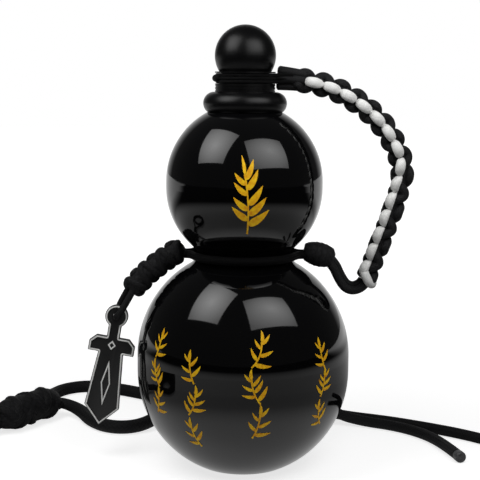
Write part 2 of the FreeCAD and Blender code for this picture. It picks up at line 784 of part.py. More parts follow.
def biarc(start, start_way, end, end_way):
    """Two arcs that join start to end and keep both directions."""
    chord = end - start
    spread = start_way + end_way
    bend = 2 * (1 - start_way.dot(end_way))
    pull = chord.dot(spread)
    reach = (math.sqrt(pull * pull + bend * chord.dot(chord)) - pull) / bend
    first_corner = start + start_way * reach
    last_corner = end - end_way * reach
    joint = (first_corner + last_corner) / 2
    arcs = []
    for here, corner, there in ((start, first_corner, joint), (joint, last_corner, end)):
        middle = (here + there) / 2
        half = (there - here).Length / 2
        tilt = math.acos(half / (corner - here).Length)
        bulge = (corner - middle).normalize() * (half * math.tan(tilt / 2))
        arcs.append(Part.Arc(here, middle + bulge, there))
    return arcs


def strap_coil_line():
    """Place on the coil's spiral as a function of the turns made: in below, one climb, out above."""
    along = slide_knot_line()[1]
    far_end, near_end = vector(*FAR_TO_COIL[-1]), vector(*NEAR_TO_COIL[-1])
    lead = along * dim.strap_cord.value
    centre = (far_end + near_end) / 2 + lead
    start_angle = math.atan2(far_end.y + lead.y - centre.y, far_end.x + lead.x - centre.x)
    floor = far_end.z
    reverse = COIL_TURNS / 2
    step = float(dim.strap_cord + dim.coil_gap)
    outer_radius = math.hypot(far_end.x + lead.x - centre.x, far_end.y + lead.y - centre.y)

    def place(turns):
        radius = outer_radius - step * (reverse - abs(turns - reverse))
        angle = start_angle + 2 * math.pi * turns
        climb = min(max((turns - reverse) * 2 + 1 / 2, 0), 1)
        rise = step * (1 - math.cos(math.pi * climb)) / 2
        return FreeCAD.Vector(centre.x + radius * math.cos(angle), centre.y + radius * math.sin(angle),
                              floor + rise)

    return place, lead


def coil_points(place, per_turn):
    count = int(COIL_TURNS * per_turn)
    return [place(step / per_turn) for step in range(count + 1)]


def least_gap(points, diameter, skip):
    """Least distance between the surfaces of turns that aren't neighbours along the tube."""
    return min((a - b).Length for i, a in enumerate(points) for b in points[i + skip:]) - diameter


def strap_coil():
    place, lead = strap_coil_line()
    nudge = 1 / 1000
    pieces = int(COIL_TURNS * QUARTERS_PER_TURN)
    knots = [place(step / QUARTERS_PER_TURN) for step in range(pieces + 1)]
    ways = []
    for step in range(pieces + 1):
        turns = step / QUARTERS_PER_TURN
        ways.append((place(turns + nudge) - place(turns - nudge)).normalize())
    ways[0] = FreeCAD.Vector(lead).normalize()
    ways[-1] = -ways[0]
    edges = [Part.LineSegment(knots[0] - lead, knots[0])]
    for step in range(pieces):
        edges += biarc(knots[step], ways[step], knots[step + 1], ways[step + 1])
    edges.append(Part.LineSegment(knots[-1], knots[-1] - lead))
    checks_per_turn = 48
    gap = least_gap(coil_points(place, checks_per_turn), dim.strap_cord.value, checks_per_turn // 2)
    print("strap_coil: least gap between turns %.2f" % gap)
    return feature("strap_coil", swept("strap_coil", edges, dim.strap_cord))


def coil_tie():
    """A flat band round the coil's section, standing on the floor."""
    place, lead = strap_coil_line()
    centre = (place(0) + place(COIL_TURNS)) / 2
    turns = [place(TIE_PLACE_SHARE + step) for step in range(int(COIL_TURNS) + 1)]
    spokes = [math.hypot(turn.x - centre.x, turn.y - centre.y) for turn in turns]
    heights = [turn.z for turn in turns]
    room = dim.strap_cord.value / 2 + dim.tie_gap.value
    wide = max(spokes) - min(spokes) + 2 * room
    tall = max(heights) - min(heights) + 2 * room
    skin = dim.tie_thickness.value
    band = dim.tie_width.value
    corner = FreeCAD.Vector(min(spokes) - room, -band / 2, min(heights) - room)
    outer = Part.makeBox(wide + 2 * skin, band, tall + 2 * skin, corner - FreeCAD.Vector(skin, 0, skin))
    tie = feature("coil_tie", outer.cut(Part.makeBox(wide, band, tall, corner)))
    spoke = turns[0] - centre
    turn = FreeCAD.Rotation(FreeCAD.Vector(0, 0, 1), math.degrees(math.atan2(spoke.y, spoke.x)))
    tie.Placement = FreeCAD.Placement(vector(centre.x, centre.y, 0), turn)
    return tie


def strap_tips():
    """Sealed ends of the strap's two tails: short sleeves with a round nose."""
    tips = []
    radius = float(dim.strap_cord / 2 + dim.tip_wall)
    for route in (STRAP_RIGHT_FAR, STRAP_RIGHT_NEAR):
        end = vector(*route[-1])
        along = (end - vector(*route[-2])).normalize()
        sleeve = Part.makeCylinder(radius, dim.tip_length.value, end, along)
        rim = [edge for edge in sleeve.Edges if isinstance(edge.Curve, Part.Circle)
               and (edge.Curve.Center - end).dot(along) > dim.tip_length.value / 2]
        tips.append(sleeve.makeFillet(radius / 2, rim))
    return feature("strap_tips", Part.makeCompound(tips))


charm = sword_charm()
pieces = [
    bottle_body(), cap_shell(), cap_knob(), cap_thread_insert(), cap_seal(), cap_tether_loop(),
    handle_braid(), handle_end_band(), handle_tail(), waist_loop(), waist_knot(), charm_lanyard(),
    charm_cord(), charm, charm_outline(charm), strap_anchor_knot(),
    strap_strand("strap_left_far", FAR_TO_KNOT + FAR_TO_COIL),
    strap_strand("strap_left_near", NEAR_TO_KNOT + NEAR_TO_COIL),
    strap_strand("strap_right_far", STRAP_RIGHT_FAR), strap_strand("strap_right_near", STRAP_RIGHT_NEAR),
    strap_slide_knot(), strap_coil(), coil_tie(), strap_tips(),
]
doc.recompute()
for item in doc.Objects:
    if "Invalid" in item.State or "Error" in item.State:
        raise RuntimeError("%s failed: %s" % (item.Label, item.State))
for piece in pieces:
    if piece.Shape.isNull() or not piece.Shape.isValid():
        raise RuntimeError("%s has no valid shape" % piece.Label)
os.makedirs("parts", exist_ok=True)
for piece in pieces:
    piece.Shape.exportStep(os.path.join("parts", piece.Label + ".step"))
    print("%s: solids %d, volume %.1f" % (piece.Label, len(piece.Shape.Solids), piece.Shape.Volume))
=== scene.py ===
# %% [markdown]
# # A gourd water bottle
#
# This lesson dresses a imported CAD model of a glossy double-bulb flask. The hard pieces already have
# their true shape, so they keep it and only get finishes. Everything tied, woven or knotted is made
# here, cord by cord, along the routes that the CAD model uses.

# %% Load the fixed frame
import math

import bpy
from mathutils import Euler, Matrix, Vector


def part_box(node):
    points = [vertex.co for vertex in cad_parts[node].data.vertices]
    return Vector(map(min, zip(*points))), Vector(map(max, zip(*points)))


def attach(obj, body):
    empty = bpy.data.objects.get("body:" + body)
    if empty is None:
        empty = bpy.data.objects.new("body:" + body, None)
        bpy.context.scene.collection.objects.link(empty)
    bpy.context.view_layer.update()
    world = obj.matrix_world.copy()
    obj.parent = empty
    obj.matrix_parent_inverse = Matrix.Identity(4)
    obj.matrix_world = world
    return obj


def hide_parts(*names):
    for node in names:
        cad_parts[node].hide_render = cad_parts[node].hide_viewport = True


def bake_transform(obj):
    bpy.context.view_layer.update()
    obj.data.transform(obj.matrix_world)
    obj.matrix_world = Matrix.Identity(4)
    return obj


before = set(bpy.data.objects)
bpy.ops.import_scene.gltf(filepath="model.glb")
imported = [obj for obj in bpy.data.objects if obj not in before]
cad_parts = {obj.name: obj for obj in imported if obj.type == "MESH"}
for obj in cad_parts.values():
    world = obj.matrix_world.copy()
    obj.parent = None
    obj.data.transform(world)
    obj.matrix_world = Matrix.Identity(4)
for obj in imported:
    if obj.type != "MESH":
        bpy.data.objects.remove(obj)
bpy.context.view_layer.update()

MM = 0.001

# %% [markdown]
# ## Camera
#
# The photograph was taken a little above the shoulder of the flask with a long lens. The camera's
# place and lens were worked out from the ellipses of the cap and the base. A small turn and roll
# bring the flask's axis where the photograph has it, so no lens shift is needed.

# %% Camera
CAMERA_PLACE = (0.0, -0.621, 0.212)
CAMERA_PITCH = math.radians(8.1)
CAMERA_ROLL = math.radians(0.43)
IMAGE_SIDE_PIXELS = 480
FOCAL_PIXELS = 1152.7
AXIS_PIXEL = 244
SENSOR = 36

camera_turn = math.atan((AXIS_PIXEL - IMAGE_SIDE_PIXELS / 2) / FOCAL_PIXELS)
bpy.ops.object.camera_add(location=CAMERA_PLACE)
camera = bpy.context.object
camera.name = "view_camera"
camera.data.sensor_width = SENSOR
camera.data.lens = FOCAL_PIXELS * SENSOR / IMAGE_SIDE_PIXELS
turned = (Matrix.Rotation(camera_turn, 3, "Z")
          @ Matrix.Rotation(math.pi / 2 - CAMERA_PITCH, 3, "X")
          @ Matrix.Rotation(CAMERA_ROLL, 3, "Z"))
camera.rotation_euler = turned.to_euler()
bpy.context.scene.camera = camera
bpy.context.scene.view_settings.view_transform = "Standard"
print("lens %.1f mm" % camera.data.lens)

# %% [markdown]
# ## Lines and tubes for cords
#
# A cord is a route first. The route's points are the control points of a NURBS curve, and Blender
# gives the smooth line back as points. A tube then follows those points. A bevelled curve would be
# quicker, but here the thickness may change along the cord and its ends can be rounded. The rings are
# carried along without twisting, and the UV map runs once round the cord and along it in units of its
# girth, so that one woven pattern fits cords of any thickness.


# %% Helpers for lines
def route_line(route, detail=12):
    """Points of the smooth curve whose control points are the route, in metres."""
    curve = bpy.data.curves.new("route_line", "CURVE")
    curve.dimensions = "3D"
    spline = curve.splines.new("NURBS")
    spline.points.add(len(route) - 1)
    for point, place in zip(spline.points, route):
        point.co = (*(Vector(place) * MM), 1)
    spline.order_u = 3
    spline.use_endpoint_u = True
    spline.resolution_u = detail
    holder = bpy.data.objects.new("route_line", curve)
    mesh = bpy.data.meshes.new_from_object(holder)
    points = [vertex.co.copy() for vertex in mesh.vertices]
    bpy.data.meshes.remove(mesh)
    bpy.data.objects.remove(holder)
    bpy.data.curves.remove(curve)
    return points


def line_lengths(points):
    """Distance along the line at each of its points."""
    lengths = [0.0]
    for before, after in zip(points, points[1:]):
        lengths.append(lengths[-1] + (after - before).length)
    return lengths


def evenly(points, step):
    """Points about a step apart along the line, first and last included."""
    lengths = line_lengths(points)
    count = max(2, round(lengths[-1] / step))
    spread, index = [], 0
    for number in range(count + 1):
        goal = lengths[-1] * number / count
        while index < len(points) - 2 and lengths[index + 1] < goal:
            index += 1
        share = (goal - lengths[index]) / max(lengths[index + 1] - lengths[index], 1e-12)
        spread.append(points[index].lerp(points[index + 1], min(share, 1)))
    return spread


def tangents(points):
    """Unit directions along the line."""
    ways = []
    for index in range(len(points)):
        before, after = points[max(index - 1, 0)], points[min(index + 1, len(points) - 1)]
        ways.append((after - before).normalized())
    return ways


def carried_frames(points):
    """Two directions across the line at each point, carried along it without twisting."""
    ways = tangents(points)
    across = ways[0].orthogonal().normalized()
    frames = []
    for way in ways:
        across = (across - way * across.dot(way)).normalized()
        frames.append((across, way.cross(across)))
    return frames


# %% Helper for tubes
def tube(name, points, radius, finish, sides=14, frames=None, flat=1.0, closed=False):
    """A tube mesh along the points; radius is one value or one for each point."""
    radii = radius if isinstance(radius, list) else [radius] * len(points)
    frames = frames or carried_frames(points)
    lengths = line_lengths(points)
    girth = 2 * math.pi * max(radii)
    corners, faces, places = [], [], []
    for point, size, (across, up) in zip(points, radii, frames):
        for side in range(sides):
            angle = 2 * math.pi * side / sides
            corners.append(point + (across * math.cos(angle) + up * math.sin(angle) * flat) * size)
    rings = len(points)
    for ring in range(rings if closed else rings - 1):
        after = (ring + 1) % rings
        low = lengths[ring] / girth
        high = (lengths[after] if after else lengths[ring] + lengths[1]) / girth
        for side in range(sides):
            other = (side + 1) % sides
            faces.append((ring * sides + side, ring * sides + other,
                          after * sides + other, after * sides + side))
            left, right = side / sides, (side + 1) / sides
            places += [(left, low), (right, low), (right, high), (left, high)]
    if not closed:
        for first, order in ((0, -1), ((rings - 1) * sides, 1)):
            faces.append(tuple(first + side for side in range(sides)[::order]))
            places += [(side / sides, lengths[-1 if first else 0] / girth) for side in range(sides)[::order]]
    mesh = bpy.data.meshes.new(name)
    mesh.from_pydata(corners, [], faces)
    layer = mesh.uv_layers.new(name="UVMap")
    for loop, place in zip(layer.data, places):
        loop.uv = place
    mesh.shade_smooth()
    mesh.materials.append(finish)
    piece = bpy.data.objects.new(name, mesh)
    bpy.context.scene.collection.objects.link(piece)
    return piece


def joined(name, pieces):
    """One object made of several."""
    bpy.ops.object.select_all(action="DESELECT")
    for piece in pieces:
        piece.select_set(True)
    bpy.context.view_layer.objects.active = pieces[0]
    bpy.ops.object.join()
    pieces[0].name = name
    pieces[0].data.name = name
    return pieces[0]


def rounded(count, size, steps, blunt=0.35):
    """Radii of a tube whose two ends close in a round nose over a few rings; blunt keeps the tip open."""
    radii = [size] * count
    for step in range(steps):
        radii[step] = radii[-1 - step] = size * math.sqrt(1 - (1 - (step + blunt) / steps) ** 2)
    return radii


# %% [markdown]
# ## Cord finishes
#
# The cords are woven polyester: many fine yarns, braided left over right into a round sheath. The
# pattern is worked out from the tube's UV map. Two sets of diagonal yarns cross, and in each small
# diamond one of the sets lies on top. The same height drives a bump and a painted shade: the colour is
# darker down between the yarns and lighter on their crowns. A fine noise adds loose fibres. Worked out
# this way the weave stays sharp from close by.


# %% Helpers for materials
def make(tree, kind, inputs=(), **settings):
    """A node with its settings, and its inputs linked or set."""
    made = tree.nodes.new(kind)
    for key, value in settings.items():
        setattr(made, key, value)
    for key, value in dict(inputs).items():
        if isinstance(value, bpy.types.NodeSocket):
            tree.links.new(value, made.inputs[key])
        else:
            made.inputs[key].default_value = value
    return made


def sums(tree, operation, *values):
    """A math node's result."""
    return make(tree, "ShaderNodeMath", dict(enumerate(values)), operation=operation).outputs[0]


def new_material(name, sockets):
    """A material with its node tree and shader; plain values go straight on the shader's sockets."""
    material = bpy.data.materials.new(name)
    material.use_nodes = True
    tree = material.node_tree
    shader = tree.nodes["Principled BSDF"]
    for socket, value in sockets.items():
        shader.inputs[socket].default_value = value
    return material, tree, shader


def ramp(tree, factor, *stops):
    """A colour ramp through (place, tint) stops."""
    made = make(tree, "ShaderNodeValToRGB", {"Fac": factor})
    elements = made.color_ramp.elements
    while len(elements) < len(stops):
        elements.new(1)
    for element, (place, tint) in zip(elements, stops):
        element.position = place
        element.color = (*tint, 1)
    return made.outputs["Color"]


def colour(tree, shader, factor, *stops):
    """The shader's base colour from a ramp."""
    tree.links.new(ramp(tree, factor, *stops), shader.inputs["Base Color"])


def noise(tree, scale, detail=3, roughness=0.6):
    """Noise on the piece's own coordinates."""
    place = make(tree, "ShaderNodeTexCoord").outputs["Object"]
    return make(tree, "ShaderNodeTexNoise",
                {"Vector": place, "Scale": scale, "Detail": detail, "Roughness": roughness}).outputs["Fac"]


def bump(tree, shader, height, distance, strength=1.0):
    """Fine relief from a height; distance is its depth in metres."""
    made = make(tree, "ShaderNodeBump", {"Height": height, "Distance": distance, "Strength": strength})
    tree.links.new(made.outputs["Normal"], shader.inputs["Normal"])


# %% Woven sheath
FIBRE_SCALE = 2600
FIBRE_SHARE, YARN_SHARE = 0.35, 0.75


def sheath(name, groove, crown, yarns, depth, gloss):
    """A round woven sheath: height from crossing diagonal yarns, and colour with painted shade, darker where
    the yarns dip.
    """
    material, tree, shader = new_material(name, {
        "Roughness": 0.7, "Sheen Weight": 0.02, "Sheen Roughness": 0.4, "Specular IOR Level": gloss})
    uv = make(tree, "ShaderNodeUVMap", uv_map="UVMap").outputs["UV"]
    split = make(tree, "ShaderNodeSeparateXYZ", {"Vector": uv}).outputs
    rising = sums(tree, "MULTIPLY", sums(tree, "ADD", split["X"], split["Y"]), yarns)
    falling = sums(tree, "MULTIPLY", sums(tree, "SUBTRACT", split["X"], split["Y"]), yarns)
    cells = sums(tree, "ADD", sums(tree, "FLOOR", rising), sums(tree, "FLOOR", falling))
    on_top = sums(tree, "FLOORED_MODULO", cells, 2)
    crests = [sums(tree, "SINE", sums(tree, "MULTIPLY", sums(tree, "FRACT", way), math.pi))
              for way in (rising, falling)]
    height = make(tree, "ShaderNodeMix", {"Factor": on_top, "A": crests[0], "B": crests[1]}).outputs["Result"]
    yarn_height = sums(tree, "MULTIPLY", height, YARN_SHARE)
    woven = sums(tree, "MULTIPLY_ADD", noise(tree, FIBRE_SCALE), FIBRE_SHARE, yarn_height)
    # Painted shade: the groove colour where the height is low, between the yarns, and the crown colour on
    # top.
    colour(tree, shader, woven, (0.1, groove), (0.85, crown))
    bump(tree, shader, woven, depth)
    return material


# Each groove colour is painted shade, darker than its crown where the yarns dip.
black_sheath = sheath("black_sheath", groove=(0.0025, 0.0025, 0.0028), crown=(0.011, 0.011, 0.012),
                      yarns=10, depth=0.0002, gloss=0.2)
# A darker, duller copy of the black sheath for the cords in the cap's groove and round the waist: painted
# shade, for the shade those recesses hold.
painted_shade_sheath = sheath("painted_shade_sheath", groove=(0.0006, 0.0006, 0.0007), crown=(0.0022, 0.0022, 0.0025),
                     yarns=10, depth=0.0002, gloss=0.08)
white_sheath = sheath("white_sheath", groove=(0.68, 0.68, 0.67), crown=(0.88, 0.88, 0.86),
                      yarns=14, depth=0.00008, gloss=0.3)
print("cord finishes made")

# %% [markdown]
# ## Shoulder strap
#
# The strap is one long loop of limp black cord, about a metre and a half, tied behind the waist. Both
# strands run to the left through a woven slider. Past the picture's edge the rest lies in a small
# flat coil, as for storage: two layers, spiralling in below, climbing once, and out again above. The
# routes are the CAD model's own. Two points were added on the straight stretch inside the slider,
# because a smooth curve would cut that long corner. Between flask and slider the cord is slack and drawn
# fuller, as the photograph shows it, and there its line is raised to stay on the floor.

# %% Strap routes
STRAP_CORD = 6.0
STRAP_RADIUS = 3.2
STRAP_STEP = 2.2
SLACK_FULLER = 0.8
SLACK_WITHIN = 20
FAR_TO_KNOT = [
    (-3.6, 43.3, 110.3), (-3.8, 51.0, 102.0), (-4.6, 59.5, 88.5), (-6.0, 64.8, 71.5),
    (-8.0, 67.5, 53.0), (-11.5, 71.5, 35.0), (-19.0, 80.0, 18.0), (-32.0, 92.0, 7.0),
    (-49.0, 105.0, 3.4), (-67.5, 119.0, 3.2), (-86.0, 130.0, 3.2), (-104.5, 136.0, 3.2),
    (-119.0, 128.0, 3.2), (-125.2, 112.5, 3.3), (-125.4, 96.5, 6.0), (-123.4, 83.8, 8.9),
]
FAR_IN_KNOT = [(-130.7, 73.0, 8.9), (-160.9, 28.2, 8.9)]
FAR_TO_COIL = [
    (-168.7, 16.6, 8.9), (-178.6, 6.4, 8.3), (-192.4, 1.2, 6.9), (-207.5, -0.6, 5.5),
    (-221.0, -3.6, 4.8), (-229.6, -10.4, 4.7), (-235.5, -19.1, 4.7),
]
NEAR_TO_KNOT = [
    (-10.8, 43.3, 110.3), (-11.2, 51.0, 102.0), (-13.0, 59.5, 88.5), (-16.0, 64.6, 71.5),
    (-21.0, 67.0, 53.0), (-28.0, 69.5, 35.0), (-38.0, 70.0, 18.5), (-49.0, 61.0, 6.8),
    (-59.0, 48.5, 3.5), (-71.5, 42.6, 3.2), (-84.5, 47.6, 3.2), (-93.6, 60.0, 3.2),
    (-99.6, 71.6, 4.6), (-108.6, 78.6, 7.2), (-117.6, 79.8, 8.9),
]
NEAR_IN_KNOT = [(-123.2, 71.5, 8.9), (-155.1, 24.3, 8.9)]
NEAR_TO_COIL = [
    (-162.9, 12.7, 8.9), (-168.7, -0.3, 8.2), (-168.3, -15.0, 7.8), (-164.4, -29.7, 8.6),
    (-162.1, -43.3, 10.4), (-165.2, -53.9, 11.4), (-171.0, -62.6, 11.4),
]
COIL_TURNS = 3.5
COIL_GAP = 0.7
POINTS_PER_TURN = 16


def coil_route():
    """Control points of the coil: in below, one climb, out above."""
    far_end, near_end = Vector(FAR_TO_COIL[-1]), Vector(NEAR_TO_COIL[-1])
    lead = (Vector(FAR_TO_COIL[0]) - Vector(FAR_TO_KNOT[-1])).normalized() * STRAP_CORD
    centre = (far_end + near_end) / 2 + lead
    start = far_end + lead - centre
    step = STRAP_CORD + COIL_GAP
    reverse = COIL_TURNS / 2
    places = []
    for number in range(int(COIL_TURNS * POINTS_PER_TURN) + 1):
        turns = number / POINTS_PER_TURN
        radius = start.xy.length - step * (reverse - abs(turns - reverse))
        angle = math.atan2(start.y, start.x) + 2 * math.pi * turns
        climb = min(max((turns - reverse) * 2 + 0.5, 0), 1)
        rise = step * (1 - math.cos(math.pi * climb)) / 2
        places.append((centre.x + radius * math.cos(angle), centre.y + radius * math.sin(angle),
                       far_end.z + rise))
    return places


# %% Strap loop
strap_route = (FAR_TO_KNOT + FAR_IN_KNOT + FAR_TO_COIL + coil_route()
               + NEAR_TO_COIL[::-1] + NEAR_IN_KNOT[::-1] + NEAR_TO_KNOT[::-1])
strap_line = evenly(route_line(strap_route), STRAP_STEP * MM)
strap_length = line_lengths(strap_line)[-1]
far_run, near_run = (line_lengths(route_line(route))[-1] for route in (FAR_TO_KNOT, NEAR_TO_KNOT))
strap_radii = []
for along, point in zip(line_lengths(strap_line), strap_line):
    before_slider = max(far_run - along, near_run - (strap_length - along))
    slack = min(max(before_slider / (SLACK_WITHIN * MM), 0), 1)
    strap_radii.append((STRAP_RADIUS + SLACK_FULLER * slack) * MM)
    point.z += strap_radii[-1] - STRAP_RADIUS * MM
strap_loop = tube("strap_loop", strap_line, strap_radii, black_sheath)
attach(strap_loop, "bottle")
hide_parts("strap_left_far", "strap_left_near", "strap_coil")
print("strap loop: %.3f m" % strap_length)

# %% Strap tails
STRAP_TAIL_RADIUS = 3.14
STRAP_RIGHT_FAR = [
    (3.6, 43.3, 110.3), (3.8, 51.0, 102.0), (4.8, 59.5, 88.5), (7.0, 64.8, 71.5),
    (11.0, 67.5, 53.0), (18.0, 70.5, 35.0), (29.0, 73.5, 18.0), (45.0, 75.0, 6.5),
    (65.0, 73.0, 3.3), (88.0, 64.5, 3.2), (112.0, 51.0, 3.2), (134.0, 36.0, 3.2), (149.0, 21.0, 3.2),
]
STRAP_RIGHT_NEAR = [
    (10.8, 43.3, 110.3), (11.4, 51.0, 102.0), (13.6, 59.5, 88.5), (17.0, 64.4, 71.5),
    (23.0, 66.6, 53.0), (32.0, 67.0, 35.0), (44.0, 66.5, 18.5), (58.0, 65.5, 6.5),
    (74.0, 62.0, 3.3), (92.0, 54.0, 3.2), (107.0, 39.5, 3.2), (116.0, 20.0, 3.2), (120.5, 0.0, 3.2),
]
for name, route in (("strap_right_far", STRAP_RIGHT_FAR), ("strap_right_near", STRAP_RIGHT_NEAR)):
    tail_line = evenly(route_line(route), STRAP_STEP * MM)
    tail = tube(name + "_cord", tail_line, STRAP_TAIL_RADIUS * MM, black_sheath)
    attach(tail, "bottle")
    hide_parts(name)

# %% [markdown]
# ## Weaving
#
# The carry handle, the slider and the lanyard are all woven the same way: two working cords swing
# from edge to edge round a straight core. One always passes over the front and the other over the
# back, so the edges show a row of loops. These loops shape the outline, so they are real cords and not
# a bump on a plain tube. One function gives the path of a working cord. Its swing lingers at the edges,
# which makes the loops full.

# %% Helpers for weaving
NARROWING = 0.45


def woven_frames(points, up, twist=None):
    """Directions to the edge and to the front at each point; twist turns them about the line."""
    frames = []
    for index, way in enumerate(tangents(points)):
        edge = up.cross(way).normalized()
        front = edge.cross(way).normalized()
        angle = twist(index / (len(points) - 1)) if twist else 0
        frames.append((edge * math.cos(angle) - front * math.sin(angle),
                       front * math.cos(angle) + edge * math.sin(angle)))
    return frames


def swelling(points, taper):
    """A factor at each point that grows to 1 over the taper's length from both ends."""
    lengths = line_lengths(points)
    factors = []
    for length in lengths:
        share = min(length, lengths[-1] - length) / taper if taper else 1
        factors.append(1 - NARROWING * (1 - min(share, 1)) ** 2)
    return factors


def working_cord(points, frames, swell, pitch, reach, depth, start, face, fullness):
    """Path of one working cord; face is 1 over the front and -1 over the back."""
    path = []
    for length, point, (edge, front), size in zip(line_lengths(points), points, frames, swell):
        phase = math.pi * (length - start) / pitch
        swing = math.tanh(fullness * math.cos(phase)) / math.tanh(fullness)
        path.append(point + (edge * (reach * swing) + front * (depth * math.sin(phase) ** 2)) * size * face)
    return path


def weave(name, points, frames, pitch, reach, depth, cord, core, start=0.0, taper=0.0, fullness=1.7):
    """Both working cords and the core as one black object."""
    swell = swelling(points, taper)
    pieces = [tube(name + "_core", points, [core * size for size in swell], black_sheath, 16, frames)]
    for face in (1, -1):
        path = working_cord(points, frames, swell, pitch, reach, depth, start, face, fullness)
        pieces.append(tube(name + "_strand", path, rounded(len(path), cord / 2, 3), black_sheath, 12))
    return joined(name, pieces)


# %% [markdown]
# ## Carry handle
#
# The handle is black with a white cord stitched down its front: over each crossing, and down between
# two. Seen from the front the white shows as a row of beads, and the black loops lie beside the gaps.
# Near its lower end the weave turns, so that the beads move to the inner edge.

# %% Handle line
HANDLE_ROUTE = [
    (14.9, 0, 211.4), (24.0, 0, 210.8), (37.8, 0, 208.8), (48.5, 0, 205.4), (57.8, 0, 200.4),
    (66.9, 0, 193.9), (74.4, 0, 186.4), (80.0, 0, 177.6), (84.2, 0, 168.8), (85.4, 0, 159.6),
    (83.6, 0, 150.6), (80.8, 0, 141.8), (77.9, 0, 132.8), (74.6, 0, 124.0), (71.4, 0, 115.2),
    (67.9, 0, 105.6), (66.8, 0, 102.6),
]
BEAD_PITCH = 9.86
FIRST_BEAD = 21.8
HANDLE_TWIST = math.radians(45)
TWIST_FROM, TWIST_TO = 0.52, 0.68

handle_line = evenly(route_line(HANDLE_ROUTE), 0.5 * MM)
handle_along = line_lengths(handle_line)
first_gap = (FIRST_BEAD - BEAD_PITCH / 2) * MM


def handle_twist(share):
    """The weave's turn about its line, from its upper end to its lower."""
    part = min(max((share - TWIST_FROM) / (TWIST_TO - TWIST_FROM), 0), 1)
    return HANDLE_TWIST * part * part * (3 - 2 * part)


handle_frames = woven_frames(handle_line, Vector((0, 1, 0)), handle_twist)

# %% Handle weave
WEAVE_EARLIER = 0.45
weave_start = first_gap - WEAVE_EARLIER * BEAD_PITCH * MM
weave_from = next(i for i, along in enumerate(handle_along) if along > weave_start)
handle = weave("carry_handle", handle_line[weave_from:], handle_frames[weave_from:], pitch=BEAD_PITCH * MM,
               reach=4.3 * MM, depth=2.4 * MM, cord=4.9 * MM, core=3.2 * MM,
               start=first_gap - handle_along[weave_from], fullness=0.9)
print("handle woven from %.1f mm on" % (weave_start / MM))

# %% Strands from the cap into the weave
LEAD_LENGTH = 18.4
LEAD_SPREAD = 3.8
LEAD_CLOSING = 1.0
LEAD_RADIUS = 2.4
lead_places = ((-1.1, 0.4, 16.6), (-0.5, 0, 16.6), (0, 1.3, 17.2), (0, -1.5, 17.2), (0.55, 0.2, 16.6),
               (1.15, -0.4, 16.6))
lead_strands = []
lead_to = next(i for i, along in enumerate(handle_along) if along > LEAD_LENGTH * MM)
for level, face, start_x in lead_places:
    path = []
    for along, point, (edge, front) in zip(handle_along[:lead_to], handle_line, handle_frames):
        spread = LEAD_SPREAD - LEAD_CLOSING * along / (LEAD_LENGTH * MM)
        if point.x > start_x * MM:
            path.append(point + (edge * level * spread + front * face) * MM)
    lead_strands.append(tube("lead_strand", path, rounded(len(path), LEAD_RADIUS * MM, 3), black_sheath))
print("%d strands lead in" % len(lead_strands))

# %% White stitch
STITCH_LOW, STITCH_RISE = 2.2, 3.0
STITCH_THIN, STITCH_SWELL = 0.5, 2.3
STITCH_BLUNT = 0.8
STITCH_FLAT = 0.8
stitch_path, stitch_radii, stitch_frames = [], [], []
for along, point, pair in zip(handle_along, handle_line, handle_frames):
    if along < first_gap:
        continue
    share = (along - first_gap) / (BEAD_PITCH * MM) % 1
    bead = math.sqrt(1 - (2 * share - 1) ** 2)
    stitch_path.append(point + pair[1] * (STITCH_LOW + STITCH_RISE * bead) * MM)
    stitch_radii.append((STITCH_THIN + STITCH_SWELL * bead ** STITCH_BLUNT) * MM)
    stitch_frames.append(pair)
stitch = tube("white_stitch", stitch_path, stitch_radii, white_sheath, 16, stitch_frames, STITCH_FLAT)
handle = joined("carry_handle", [handle, stitch] + lead_strands)
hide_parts("handle_braid")
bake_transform(handle)

# %% [markdown]
# ## Band and tail of the handle
#
# The white cord's last stitch binds the handle's lower end: one steep turn, from the inner edge at the
# top to the outer edge at the bottom. Out of it come the handle's two core strands. They curl under and
# run up into the knot at the waist. The band is a closed tube round a slanted oval that bows out a little.

# %% Handle end band
BAND_HALF_WIDTH = 3.7
BAND_HALF_DEPTH = 4.6
BAND_SLANT = 3.4
BAND_BOW = 1.3
BAND_SHIFT = Vector((0.7, 0, 0.9))
BAND_CORD = 4.9
BAND_POINTS = 48


def box_middle(node):
    """The middle of a CAD node's box."""
    low, high = (Vector(corner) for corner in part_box(node))
    return (low + high) / 2


band_centre = box_middle("handle_end_band") + BAND_SHIFT * MM
band_way = tangents(handle_line)[-1]
band_edge = Vector((0, 1, 0)).cross(band_way)
across = band_edge * BAND_HALF_WIDTH - band_way * BAND_SLANT
outward = across.normalized().cross(Vector((0, 1, 0))) * BAND_BOW - Vector((0, BAND_HALF_DEPTH, 0))
band_path = []
for number in range(BAND_POINTS):
    angle = 2 * math.pi * number / BAND_POINTS
    band_path.append(band_centre + (across * math.cos(angle) + outward * math.sin(angle)) * MM)
band = tube("end_band", band_path, BAND_CORD / 2 * MM, white_sheath, sides=16, closed=True)
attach(band, "bottle")
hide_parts("handle_end_band")

